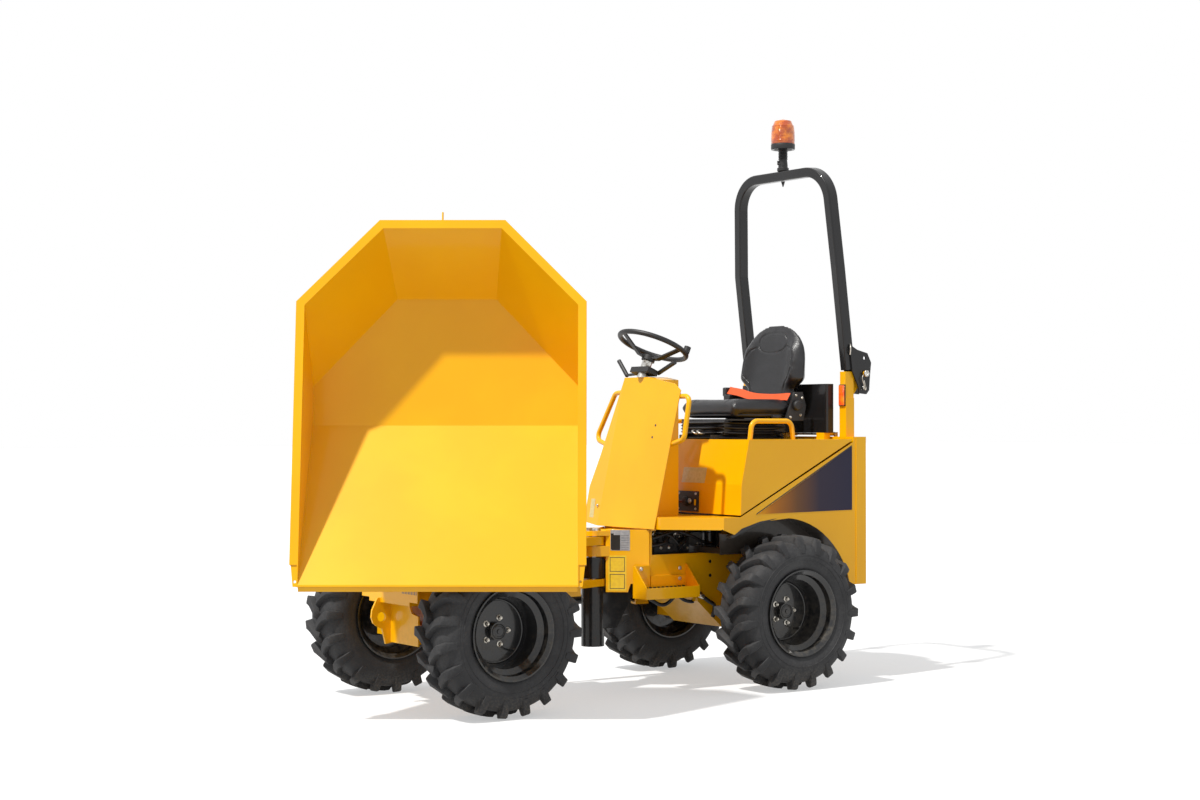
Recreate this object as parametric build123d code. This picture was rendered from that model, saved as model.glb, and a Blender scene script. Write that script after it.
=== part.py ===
"""Articulated site dumper with a swivelling, forward-tipping skip.

Millimetres.  X points forward, Y to the driver's left, Z up.  Sizes are laid
out from the rear axle on the ground; SHIFT then moves the whole machine so
that the frame's origin is under the middle of its bounding box.
The skip is drawn swivelled to the left and fully tipped.
"""
import os
from math import atan2, cos, radians, sin, sqrt

from build123d import *

# ---- driving dimensions -----------------------------------------------------
WHEELBASE = 1675.0
TRACK = 1060.0                 # between tyre middles
TYRE_D, TYRE_W = 760.0, 264.0
RIM_D = 388.0                  # bead seat
FLANGE_H = 18.0                # rim flange above the bead seat
RIM_WALL = 7.0
DISC_IN = 28.0                 # wheel disc face inside the tyre middle
DISC_R = 150.0
MOTOR_R = 92.0

PIVOT_X = 800.0                # articulation pin
PIVOT_R = 27.0
PIVOT_HEAD = 794.0             # top of the pin
FORK_Z = (655.0, 780.0)        # upper fork of the rear chassis, bottom and top
FORK_LOW, FORK_HIGH = 51.0, 24.0   # thickness of its two ears
EYE_GAP = 3.5                  # between a fork ear and the tongue
KNUCKLE_Z = (213.0, 650.0)     # the black knuckle round the pin
KNUCKLE_R = 57.0
SLOT_Z = (505.0, 548.0)        # its slot for the lower tongue

BODY_HALF = 500.0              # body and hood half width
BODY_REAR = -550.0
BODY_BOTTOM = 490.0
ARCH_R = 459.0                 # rear half of the wheel arch
ARCH_FRONT = [(147.0, 823.0), (260.0, 792.0), (304.0, 764.0)]   # its flatter front
COVER, COVER_WRAP = 4.0, 66.0  # rear cover: how proud, and how far round each side
FLOOR_TOP = 850.0
FLOOR_BAND = 60.0
HOOD_TOP = 1228.0
HOOD_FRONT = 214.0             # front edge of the hood top
HOOD_REAR = -460.0
DECK_TOP = 1240.0              # rear cross box that carries the roll bar
SHEET = 4.0
GAP = 8.0                      # shut line round the hood

RAIL_HALF = 200.0              # outer faces of the chassis rails
RAIL_Z = (498.0, 662.0)
UPRIGHT_X = 595.0
UPRIGHT_Z = (455.0, 780.0)
PLATE = 10.0
TOW_PIN_X = -590.0             # rear jaw's drop pin
TOW_PIN_R = 14.0

SWIVEL_X = 1607.0              # turntable axis
SWIVEL = 55.0                  # skip turned to the left, degrees
SKIP_LEAN = 9.1                # opening leans back from upright when tipped
TIP = 78.0                     # travel of the tipping hinge, degrees
SKIP_W = 1280.0                # over the rim
SKIP_SIDE = 1248.0             # rim's straight side, from the lip
SKIP_LEN = 1617.0
SKIP_TOP_W = 557.0
RIM_FLANGE = 38.0
SKIP_WALL = 5.0
SKIP_RETURN = 40.0             # rim edge turned back over the sides
LIP_BEND = 22.0                # lip turned down and back
GUSSET_TOP = 86.0              # where the rim ends above the lip
LIP_U, LIP_Z = 800.0, 614.0    # lip, ahead of the turntable axis
HINGE_U, HINGE_Z = 516.0, 866.0
RAM_A = (330.0, 728.0)         # tip ram's lower pin
RAM_B = (287.0, 1544.0)        # its upper pin, skip tipped

STEER_A = (360.0, -250.0, 420.0)  # steering ram pins, machine straight
STEER_B = (1060.0, -240.0, 420.0)

ROPS_HALF = 393.0
ROPS_TOP = 2640.0
ROPS_PIVOT = (-618.0, 1565.0)
BOX_HALF = 345.0               # box behind the seat; clears the heads of the fold pins
HOOD_PIVOT = (-492.0, 1254.0)
SHAFT_FIT = 0.05               # radial, running pins

os.makedirs("parts", exist_ok=True)


# ---- small builders -----------------------------------------------------------
def prism(points, vec):
    """A flat outline of 3-D points pushed along a vector."""
    v = Vector(*vec)
    return extrude(make_face(Polyline(*points, close=True)), amount=v.length, dir=v)


def xz(points, y0, y1):
    return prism([(x, y0, z) for x, z in points], (0, y1 - y0, 0))


def yz(points, x0, x1):
    return prism([(x0, y, z) for y, z in points], (x1 - x0, 0, 0))


def xy(points, z0, z1):
    return prism([(x, y, z0) for x, y in points], (0, 0, z1 - z0))


def block(x0, x1, y0, y1, z0, z1):
    return Pos((x0 + x1) / 2, (y0 + y1) / 2, (z0 + z1) / 2) * Box(x1 - x0, y1 - y0, z1 - z0)


def rod(p, q, r):
    a, b = Vector(*p), Vector(*q)
    return extrude(Plane(origin=a, z_dir=b - a) * Circle(r), amount=(b - a).length)


def rod_y(x, z, r, y0, y1):
    return rod((x, y0, z), (x, y1, z), r)


def rod_z(x, y, r, z0, z1):
    return rod((x, y, z0), (x, y, z1), r)


def eye_plate(root, half, x, r, low, high):
    """A plate that tapers from a root line to an eye on the machine's middle."""
    return (xy([(root, -half), (x, -r), (x, r), (root, half)], low, high)
            + rod_z(x, 0, r, low, high))


def pipe(points, r, bend, bore=0.0):
    """A bent round tube; `bore` is its inner radius."""
    path = FilletPolyline(*points, radius=bend)
    start = Plane(origin=path @ 0, z_dir=path % 0)
    out = sweep(start * Circle(r), path=path)
    if bore:
        out -= sweep(start * Circle(bore), path=path)
    return out


def mirrored(shape):
    return mirror(shape, about=Plane.XZ)


def save(name, shape, place=None):
    """Move the shape to the shared frame and write it."""
    solid = shape if place is None else place * shape
    solid = SHIFT * solid
    if isinstance(solid, ShapeList) or len(solid.solids()) != 1:
        raise ValueError(f"{name}: {len(solid.solids())} solids")
    export_step(solid.solids()[0], f"parts/{name}.step")
    PARTS[name] = solid.bounding_box()


PARTS = {}
SHIFT = Pos(-962.0, -178.0, 0)
SKIP_PLACE = Pos(SWIVEL_X, 0, 0) * Rot(0, 0, SWIVEL)


# ---- wheels -------------------------------------------------------------------
def rim():
    """Well-base rim with its disc, spun about Y; the outside faces +Y."""
    half = TYRE_W / 2 - 6
    seat, well = RIM_D / 2, RIM_D / 2 - 26
    top = seat + FLANGE_H
    line = [(half, top), (half - 12, top), (half - 14, seat + 2), (half - 44, seat - 1),
            (half - 62, well), (-half + 62, well), (-half + 44, seat - 1),
            (-half + 14, seat + 2), (-half + 12, top), (-half, top)]
    inner = [(y, r - RIM_WALL) for y, r in line[1:-1]]
    inner[0] = (half, top - RIM_WALL)
    inner[-1] = (-half, top - RIM_WALL)
    band = revolve(make_face(Polyline(*[(0, y, r) for y, r in line + inner[::-1]], close=True)),
                   axis=Axis.Y)
    disc_y = -DISC_IN
    disc = rod_y(0, 0, well - RIM_WALL / 2, disc_y - 10, disc_y)
    boss = rod_y(0, 0, 42, disc_y, disc_y + 26)
    return band + disc + boss


def tyre():
    half = TYRE_W / 2
    top, seat = TYRE_D / 2, RIM_D / 2
    side = [(0, top), (88, top), (112, top - 12), (half - 2, top - 62), (half, top - 100),
            (half - 8, top - 140), (half - 19, seat + FLANGE_H + 8), (half - 20.2, seat + 2.2)]
    bead = [(half - 50, seat - 0.8)]
    cavity = [(half - 50, seat + 18), (half - 22, top - 120), (half - 20, top - 70),
              (92, top - 38), (0, top - 30)]
    right = side + bead + cavity
    left = [(-y, r) for y, r in right[1:-1]][::-1]
    return revolve(make_face(Polyline(*[(0, y, r) for y, r in right + left], close=True)),
                   axis=Axis.Y)


def wheel_motor():
    """Hydraulic wheel motor between chassis and disc, outside to +Y."""
    face = TRACK / 2 - DISC_IN - 10
    body = rod_y(0, 0, MOTOR_R, face - 92, face - 0.6)
    return body + rod_y(0, 0, 112, face - 104, face - 92)


AXLE_HALF = 115.0              # half depth of the axle boxes
TAIL_X = -470.0                # rear ends of the rails
JAW_Z = 600.0                  # middle of the tow jaw
STEER_EAR = 38.0               # half height of the steering ram's forks
STEER_PIN_R = 11.0
FORK_R, TONGUE_R = 58.0, 62.0  # eyes round the pin

WHEELS = [("front_left", WHEELBASE, 1), ("front_right", WHEELBASE, -1),
          ("rear_left", 0.0, 1), ("rear_right", 0.0, -1)]
RIM, TYRE, MOTOR = rim(), tyre(), wheel_motor()
MOTOR_IN = TRACK / 2 - DISC_IN - 10 - 104


# ---- rear chassis -------------------------------------------------------------
def rear_chassis():
    z0, z1 = RAIL_Z
    rear = TAIL_X + PLATE
    rails = block(TAIL_X, UPRIGHT_X, RAIL_HALF - PLATE, RAIL_HALF, z0, z1)
    rails += mirrored(rails) + block(TAIL_X, rear, -RAIL_HALF, RAIL_HALF, z0, z1)
    upright = block(UPRIGHT_X - PLATE, UPRIGHT_X, -RAIL_HALF, RAIL_HALF, *UPRIGHT_Z)
    # belly: a trough round the rear wheel motors
    belly = xz([(-190, z0 + 20), (330, z0 + 20), (300, 420), (150, 285), (-150, 285), (-190, 360)],
               -RAIL_HALF, RAIL_HALF)
    belly -= xz([(-182, z0 + 30), (321, z0 + 30), (291, 424), (146, 293), (-146, 293), (-182, 364)],
                -RAIL_HALF + 8, RAIL_HALF - 8)
    mid = TYRE_D / 2
    end = block(-AXLE_HALF, AXLE_HALF, RAIL_HALF, MOTOR_IN, mid - 80, mid + 80)
    frame = rails + upright + belly + end + mirrored(end)
    # two upper ears for the pin; the knuckle carries its lower half
    tip = FORK_Z[0] + FORK_LOW, FORK_Z[1] - FORK_HIGH
    for low, high in ((FORK_Z[0], tip[0]), (tip[1], FORK_Z[1])):
        frame += eye_plate(UPRIGHT_X - 2, 118, PIVOT_X, FORK_R, low, high)
    frame -= rod_z(PIVOT_X, 0, PIVOT_R + SHAFT_FIT, FORK_Z[0] - 5, FORK_Z[1] + 5)
    # tow jaw, open to the rear
    x = TOW_PIN_X
    for low in (JAW_Z - 40, JAW_Z + 20):
        frame += block(x - 30, TAIL_X, -60, 60, low, low + 20)
    frame += block(TAIL_X - PLATE, TAIL_X, -60, 60, JAW_Z - 60, z1)
    frame -= rod_z(x, 0, TOW_PIN_R, JAW_Z - 50, JAW_Z + 50)
    # ears and pin that hold the steering ram's barrel
    x, y, z = STEER_A
    for low in (z - STEER_EAR, z + STEER_EAR - PLATE):
        frame += xy([(x - 40, -RAIL_HALF), (x + 40, -RAIL_HALF), (x + 22, y), (x - 22, y)],
                    low, low + PLATE) + rod_z(x, y, 22, low, low + PLATE)
    frame += block(x - 40, x + 40, -RAIL_HALF, -RAIL_HALF + PLATE, z - STEER_EAR, z0 + 20)
    return frame + rod_z(x, y, STEER_PIN_R, z - STEER_EAR, z + STEER_EAR)


def knuckle():
    """Black casting on the upright: a C round the lower tongue's eye."""
    low, high = KNUCKLE_Z
    body = rod_z(PIVOT_X, 0, KNUCKLE_R, low, high)
    body -= rod_z(PIVOT_X, 0, KNUCKLE_R + 1, *SLOT_Z)
    arm = xz([(UPRIGHT_X, UPRIGHT_Z[0]), (PIVOT_X - 110, 300), (PIVOT_X, 300), (PIVOT_X, high),
              (UPRIGHT_X, high - 50)], -50, 50)
    arm -= rod_z(PIVOT_X, 0, TONGUE_R + 5, *SLOT_Z)
    arm -= block(PIVOT_X, PIVOT_X + 1, -51, 51, *SLOT_Z)
    return body + arm - rod_z(PIVOT_X, 0, PIVOT_R + SHAFT_FIT, low - 1, high + 1)


def step():
    """Foot step hung on the left rail."""
    x0, x1, y0 = 374.0, 700.0, RAIL_HALF
    y1, low, high = y0 + 112, 455.0, 510.0
    end = yz([(y0, 612), (y0, low), (y1, low), (y1, high), (y0 + 14, 612)], x1 - 5, x1)
    tread = block(x0, x1, y0 + 12, y1, low, low + 5) + block(x0, x1, y1 - 5, y1, low, high)
    inner = block(x0, x1, y0 + 10, y0 + 15, low, low + 40)
    brace = block(x0, UPRIGHT_X - 1, y0, y0 + 6, low + 45, high + 50)
    return end + Pos(x0 + 5 - x1, 0, 0) * end + tread + inner + brace


# ---- body ---------------------------------------------------------------------
HOOD_KNEE = (262.0, 1008.0)
SHUT_FRONT = (268.0, FLOOR_TOP + GAP)
SHUT_REAR = (HOOD_REAR, HOOD_TOP - 6)
WELL_IN = TRACK / 2 - TYRE_W / 2 - 20
FLOOR_WIDE, FLOOR_FRONT = 372.0, 600.0     # floor: end of its full width, and its front
FLOOR_NOSE = (225.0, 292.0)    # how far right and left its front edge goes


def arch_points(grow=0.0):
    """The wheel arch from its rear foot over the top to the front tip, grown outward."""
    cz = TYRE_D / 2
    foot = atan2(BODY_BOTTOM - cz, -sqrt(ARCH_R ** 2 - (BODY_BOTTOM - cz) ** 2))
    steps = 12
    turn = [foot + (radians(95) - foot) * i / steps for i in range(steps + 1)]
    line = [(ARCH_R * cos(a), cz + ARCH_R * sin(a)) for a in turn] + ARCH_FRONT
    reach = [sqrt(x * x + (z - cz) ** 2) for x, z in line]
    return [(x * (1 + grow / r), cz + (z - cz) * (1 + grow / r)) for (x, z), r in zip(line, reach)]


def body_side(y0, y1):
    outline = [(FLOOR_WIDE, FLOOR_TOP), (SHUT_FRONT[0], FLOOR_TOP),
               (HOOD_REAR - GAP, SHUT_REAR[1] - GAP), (HOOD_REAR - GAP, DECK_TOP),
               (BODY_REAR, DECK_TOP), (BODY_REAR, BODY_BOTTOM)]
    outline += arch_points() + [(FLOOR_WIDE, FLOOR_TOP - FLOOR_BAND)]
    return xz(outline, y0, y1)


def wheel_well():
    """Curved arch lining and its inner wall, left side."""
    outer = arch_points(SHEET)
    lining = xz(outer + arch_points()[::-1], WELL_IN, BODY_HALF - SHEET / 2)
    wall = [p for p in outer if p[1] > RAIL_Z[1]]
    wall = [(wall[0][0], RAIL_Z[1])] + wall + [(ARCH_FRONT[-1][0], RAIL_Z[1])]
    return lining + xz(wall, WELL_IN, WELL_IN + SHEET)


def body_shell():
    side = body_side(BODY_HALF - SHEET, BODY_HALF) + wheel_well()
    side += block(BODY_REAR, BODY_REAR + COVER_WRAP, BODY_HALF, BODY_HALF + COVER,
                  BODY_BOTTOM, DECK_TOP)
    wide = BODY_HALF + COVER
    rear = block(BODY_REAR, BODY_REAR + SHEET, -wide, wide, BODY_BOTTOM, DECK_TOP)
    rear -= block(BODY_REAR - 1, BODY_REAR + 10, -90, 90, BODY_BOTTOM - 1, 700)
    front = HOOD_REAR - GAP
    rear += block(BODY_REAR, front, -BODY_HALF, BODY_HALF, DECK_TOP - SHEET, DECK_TOP)
    rear += block(front - SHEET, front, -BODY_HALF, BODY_HALF, 1120, DECK_TOP)
    back = SHUT_FRONT[0] - 40
    floor = xy(floor_outline(back), FLOOR_TOP - FLOOR_BAND, FLOOR_TOP)
    floor -= xy(floor_outline(back - 20, SHEET), FLOOR_TOP - FLOOR_BAND - 5, FLOOR_TOP - SHEET)
    shell = side + mirrored(side) + rear + floor
    # cross bearers that carry the body on the rails
    for x, y in ((-420.0, BODY_HALF - 2), (240.0, WELL_IN + 2)):
        shell += block(x - 20, x + 20, -y, y, RAIL_Z[1], RAIL_Z[1] + 30)
    post = block(UPRIGHT_X - 35, UPRIGHT_X - 5, -RAIL_HALF, RAIL_HALF, UPRIGHT_Z[1],
                 FLOOR_TOP - SHEET / 2)
    return shell + post


def floor_outline(back, less=0.0):
    """The footwell floor, tapered to its front; `less` draws its inside."""
    half = BODY_HALF - less
    right, left = (nose - less / 2 for nose in FLOOR_NOSE)
    x0, x1 = FLOOR_WIDE - less / 2, FLOOR_FRONT - less
    return [(back, -half), (x0, -half), (x1, -right), (x1, left), (x0, half), (back, half)]


def hood():
    t = SHEET
    outline = [(HOOD_FRONT, HOOD_TOP), HOOD_KNEE, SHUT_FRONT, SHUT_REAR, (HOOD_REAR, HOOD_TOP)]
    inside = [(HOOD_FRONT - t, HOOD_TOP - t), (HOOD_KNEE[0] - t, HOOD_KNEE[1]),
              (SHUT_FRONT[0] - t, SHUT_FRONT[1] - 30), (SHUT_REAR[0] - 5, SHUT_REAR[1] - 30),
              (HOOD_REAR - 5, HOOD_TOP - t)]
    cover = xz(outline, -BODY_HALF, BODY_HALF) - xz(inside, -BODY_HALF + t, BODY_HALF - t)
    x, z = HOOD_PIVOT
    for y in (-300.0, 0.0, 300.0):
        strap = block(x, HOOD_REAR + 40, y - 30, y + 30, HOOD_TOP - 1, z + 6)
        strap -= block(x - 20, HOOD_REAR - 2, y - 31, y + 31, HOOD_TOP - 2, z - 4)
        cover += strap + rod_y(x, z, 10, y - 30, y + 30)
    return cover - rod_y(x, z, 6 + SHAFT_FIT, -400, 400)


def hood_hinge():
    """Hinge pin with its brackets on the rear cross box."""
    x, z = HOOD_PIVOT
    pin = rod_y(x, z, 6, -345, 345)
    for y in (-345.0, -250.0, 240.0, 335.0):
        pin += block(x - 9, x + 9, y, y + 10, DECK_TOP, z + 9)
    return pin


def hood_rail():
    hoop = pipe([(145, 420, HOOD_TOP - 8), (132, 420, HOOD_TOP + 92), (-122, 420, HOOD_TOP + 92),
                 (-135, 420, HOOD_TOP - 8)], 12.5, 40, 9.5)
    return hoop - block(-200, 200, 380, 460, HOOD_TOP - 30, HOOD_TOP)


# ---- console ------------------------------------------------------------------
CON_FOOT, CON_HEAD = (610.0, 790.0), (500.0, 1540.0)     # x, z of the leaning sheet
CON_LEFT = [(256.0, 790.0), (300.0, 1148.0), (340.0, 1470.0), (288.0, 1503.0), (60.0, 1540.0)]
CON_FOLD = (-232.0, -143.0)    # where the wing starts, at the foot and at the head
CON_EDGE = [(-372.0, 805.0), (-360.0, 985.0), (-288.0, 1145.0)]
WING_BACK = 6.0                # the wing is folded back, degrees
CON_T = 4.0
CON_BACK = 386.0              # rear plate of the box behind the sheet


def con_x(z):
    """Rear face of the console sheet at height z."""
    k = (CON_HEAD[0] - CON_FOOT[0]) / (CON_HEAD[1] - CON_FOOT[1])
    return CON_FOOT[0] + k * (z - CON_FOOT[1])


def fold_y(z):
    """The fold line at height z."""
    low, high = CON_FOLD
    return low + (high - low) * (z - CON_FOOT[1]) / (CON_HEAD[1] - CON_FOOT[1])


def wing_x(y, z):
    """Rear face of the folded wing."""
    return con_x(z) + (y - fold_y(z)) * sin(radians(WING_BACK))


def console():
    """Leaning front sheet with a wing, a cap and a box of three plates behind."""
    foot, head = CON_FOOT[1], CON_HEAD[1]
    low, high = CON_FOLD
    outline = CON_LEFT + [(high, head), (low, foot)]
    sheet = prism([(con_x(z), y, z) for y, z in outline], (CON_T, 0, 0))
    edge = [(fold_y(head - 10), head - 10), (low, foot)] + CON_EDGE
    wing = prism([(wing_x(y, z), y, z) for y, z in edge], (CON_T, 0, 0))
    front = con_x(head) + 2
    (y0, z0), (y1, z1) = CON_LEFT[-2:]
    right, left = -132.0, 154.0
    fall = z1 - (z1 - z0) * (left - y1) / (y0 - y1)
    cap = yz([(right, head), (y1, head), (left, fall), (left, fall - CON_T), (y1, head - CON_T),
              (right, head - CON_T)], CON_BACK, front)
    box = block(CON_BACK, CON_BACK + CON_T, right, left, FLOOR_TOP, fall - CON_T / 2)
    box += block(CON_BACK, CON_BACK + CON_T, right, y1, fall - CON_T, head - CON_T / 2)
    for y, top in ((right, head), (left - CON_T, fall)):
        box += xz([(CON_BACK, FLOOR_TOP), (con_x(FLOOR_TOP) + 2, FLOOR_TOP), (front, top - 2),
                   (CON_BACK, top - 2)], y, y + CON_T)
    return sheet + wing + cap + box


def console_rail_left():
    r = 12.5
    return pipe([(con_x(1441) - r - 0.2, 230, 1441), (con_x(1441) - r - 0.2, 398, 1441),
                 (con_x(1230) - r, 392, 1230), (con_x(1192) - r - 0.2, 220, 1188)], r, 35, 9.5)


def console_rail_right():
    r = 12.5
    return pipe([(wing_x(y, z) - r - 1.1, y, z) for y, z in
                 ((-150, 1468), (-244, 1462), (-384, 1228), (-225, 1188))], r, 35, 9.5)


# ---- steering -----------------------------------------------------------------
WHEEL_C = (430.0, 0.0, 1700.0)
WHEEL_TILT = 23.0
WHEEL_R, GRIP_R = 187.5, 13.0
HUB_Z = -72.0                  # wheel hub below the ring
SPIGOT_R, COLUMN_R = 12.0, 26.0
SWITCH_FIT = 0.2
STEER_PLACE = Pos(*WHEEL_C) * Rot(0, -WHEEL_TILT, 0)


def steering_wheel():
    ring = WHEEL_R - GRIP_R
    out = Torus(ring, GRIP_R) + Pos(0, 0, HUB_Z) * Cylinder(34, 26)
    spoke = xz([(20, HUB_Z - 4), (60, HUB_Z), (ring - 2, -5), (ring - 2, 3), (56, HUB_Z + 8),
                (20, HUB_Z + 6)], -15, 15)
    for a in (108, 228, 348):
        out += Rot(0, 0, a) * spoke
    out += Rot(0, 0, 130) * (Pos(ring, 0, 22) * Cylinder(17, 34))
    return out - Pos(0, 0, HUB_Z - 12) * Cylinder(SPIGOT_R + SHAFT_FIT, 24)


def steering_column():
    """Column up from the console's cap, with the spigot that carries the wheel."""
    post = Pos(0, 0, HUB_Z - 18 - 75) * Cylinder(COLUMN_R, 150)
    post = STEER_PLACE * (post + Pos(0, 0, HUB_Z - 10) * Cylinder(SPIGOT_R, 18))
    return post - block(300, 700, -100, 100, 1300, CON_HEAD[1])


# ---- seat, engine, box --------------------------------------------------------
SEAT_PAN = 1330.0
CUSHION = (-290.0, 78.0, 232.0, 102.0)   # rear, front, half width, height


def seat_base():
    """Slides, bellows and pan, with a side bracket for the backrest."""
    base = block(-300, 150, -150, -110, HOOD_TOP, HOOD_TOP + 22)
    base += mirrored(base) + block(-280, 110, -170, 170, HOOD_TOP + 22, HOOD_TOP + 30)
    for i in range(4):
        z = HOOD_TOP + 29 + i * 16
        base += xz([(-282, z), (108, z), (120, z + 8), (108, z + 17), (-282, z + 17), (-294, z + 8)],
                   -176, 176)
    base += block(-310, 90, -210, 210, SEAT_PAN - 8, SEAT_PAN)
    side = xz([(-350, 1322), (-230, 1322), (-262, 1400), (-292, 1470), (-345, 1470), (-368, 1400)],
              236.2, 250)
    side += block(-320, -260, 200, 240, SEAT_PAN - 8, SEAT_PAN)
    return base + side + mirrored(side)


def seat_cushion():
    x0, x1, y, h = CUSHION
    body = fillet(block(x0, x1, -y, y, SEAT_PAN, SEAT_PAN + h).edges().filter_by(Axis.Z), 60)
    return fillet(body.edges().group_by(Axis.Z)[-1], 30)


def seat_back():
    body = xz([(-292, 1400), (-300, 1800), (-340, 1832), (-390, 1800), (-384, 1420), (-350, 1390)],
              -236, 236)
    return fillet(body.edges().filter_by(Axis.Y), 12)


def back_box():
    """Stands on the hood's straps and swings back between the roll bar's posts."""
    box = block(-476, -425, -BOX_HALF, BOX_HALF, HOOD_PIVOT[1] + 6, 1512)
    return fillet(box.edges().filter_by(Axis.Z), 10)


def control_plate():
    """Battery switch plate on the hood's front."""
    k = (SHUT_FRONT[0] - HOOD_KNEE[0]) / (SHUT_FRONT[1] - HOOD_KNEE[1])
    lo, hi = 866.0, 967.0
    x0, x1 = HOOD_KNEE[0] + k * (lo - HOOD_KNEE[1]) + 0.2, HOOD_KNEE[0] + k * (hi - HOOD_KNEE[1]) + 0.2
    plate = xz([(x0, lo), (x1, hi), (x1 + 10, hi), (x0 + 10, lo)], 0, 165)
    return plate + rod((x0 + 6, 82, 917), (x0 + 30, 82, 917), 14)


def switch_cluster():
    """Switch body on the column with a stalk each side, in the wheel's own frame."""
    out = Pos(0, 0, HUB_Z - 71) * Box(66, 148, 28)
    out -= Pos(0, 0, HUB_Z - 71) * Cylinder(COLUMN_R + SWITCH_FIT, 60)
    for line in (((-30, -60, -138), (-38, -197, -142), (-9, -268, -72)),
                 ((-28, 60, -138), (-42, 66, -134), (-16, 210, -90))):
        root, knee, end = line
        out += rod(root, knee, 7) + rod(knee, end, 11)
        out += Pos(*knee) * Sphere(11)
    return out


def engine():
    return block(-380, 150, -170, 170, RAIL_Z[1] + 12, 1130)


def engine_feet():
    return block(-380, 150, -RAIL_HALF + 1, RAIL_HALF - 1, RAIL_Z[1], RAIL_Z[1] + 12)


# ---- roll bar -----------------------------------------------------------------
POST_X = (-548.0, -492.0)
POST_TOP = 1575.0
TUBE = (50.0, 60.0)            # hoop section, across and along
HOOP_BEND = 165.0              # its corners
CLEVIS, CLEVIS_T = TUBE[0] / 2, 8.0        # hoop plates: inner face and thickness
FOLD_PIN_R = 10.0


def rops_post():
    """Left lower post with the lug between the hoop's plates, and the fold pin."""
    px, pz = ROPS_PIVOT
    a, (x0, x1) = ROPS_HALF, POST_X
    waist = POST_TOP - 135
    post = block(x0, x1, a - 25, a + 25, DECK_TOP, waist) + block(x0, x1, a - 21, a + 21, waist, POST_TOP)
    post -= block(x0 + 6, x1 - 6, a - 19, a + 19, DECK_TOP - 1, waist - 20)
    lug = xz([(x0 + 3, waist), (x0 + 3, POST_TOP - 45), (px + 18, pz + 25), (px - 22, pz + 17),
              (px - 22, pz - 17)], a - 6, a + 6)
    boss = rod_y(px, pz, 22, a - CLEVIS + 0.1, a + CLEVIS - 0.1)
    over = CLEVIS + CLEVIS_T
    pin = rod_y(px, pz, FOLD_PIN_R, a - over - 8, a + over + 8)
    for y in (a - over - 8, a + over + 0.2):
        pin += rod_y(px, pz, 16, y, y + 7.8)
    return post + lug + boss + pin


def hoop_plate(y):
    """Side plate of the hoop's clevis, from y outward."""
    px, pz = ROPS_PIVOT
    plate = xz([(-511, 1715), (-562, 1688), (-633, 1671), (-659, 1623), (-651, 1555), (-645, 1480),
                (-626, 1459), (-575, 1463), (-575, 1488), (-530, 1577)], y, y + CLEVIS_T)
    plate -= rod_y(px, pz, FOLD_PIN_R + SHAFT_FIT, y - 5, y + CLEVIS_T + 5)
    return plate - rod_y(px + 5, pz + 81, 9, y - 5, y + CLEVIS_T + 5)


def hoop_path():
    a, b = ROPS_HALF, ROPS_HALF - 40
    side = [(-527, a, POST_TOP + 10), (-461, a, 2105), (-425, b, ROPS_TOP - TUBE[0] / 2)]
    return side + [(x, -y, z) for x, y, z in reversed(side)]


def rops_hoop():
    path = FilletPolyline(*hoop_path(), radius=HOOP_BEND)
    start = Plane(origin=path @ 0, x_dir=(0, 1, 0), z_dir=path % 0)
    tube = sweep(start * RectangleRounded(*TUBE, 8), path=path)
    tube -= sweep(start * RectangleRounded(TUBE[0] - 8, TUBE[1] - 8, 4), path=path)
    plates = (hoop_plate(ROPS_HALF + CLEVIS) + hoop_plate(ROPS_HALF - CLEVIS - CLEVIS_T)
              - block(-600, -440, ROPS_HALF - CLEVIS, ROPS_HALF + CLEVIS, 1400, 1800))
    return tube + plates + mirrored(plates)


BEACON_X, BEACON_Z = -425.0, ROPS_TOP


def beacon_base():
    out = rod_z(BEACON_X, 0, 20, BEACON_Z, BEACON_Z + 135)
    return out + rod_z(BEACON_X, 0, 62, BEACON_Z + 115, BEACON_Z + 145)


def beacon_lens():
    z = BEACON_Z + 145
    dome = revolve(make_face(Polyline((0, 0, 0), (60, 0, 0), (62, 0, 30), (58, 0, 90), (44, 0, 122),
                                      (0, 0, 134), close=True)), axis=Axis.Z)
    return Pos(BEACON_X, 0, z) * dome


# ---- front chassis ------------------------------------------------------------
FRONT_HALF = 190.0
FRAME_REAR, FRONT_END = 1000.0, 1940.0
FRONT_LOW, DECK_Z = 480.0, 600.0           # bottom and top of the box frame
NOSE_X = 1885.0                # front of the box under the cover
RING_R, RING_Z = 150.0, DECK_Z + 20


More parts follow.
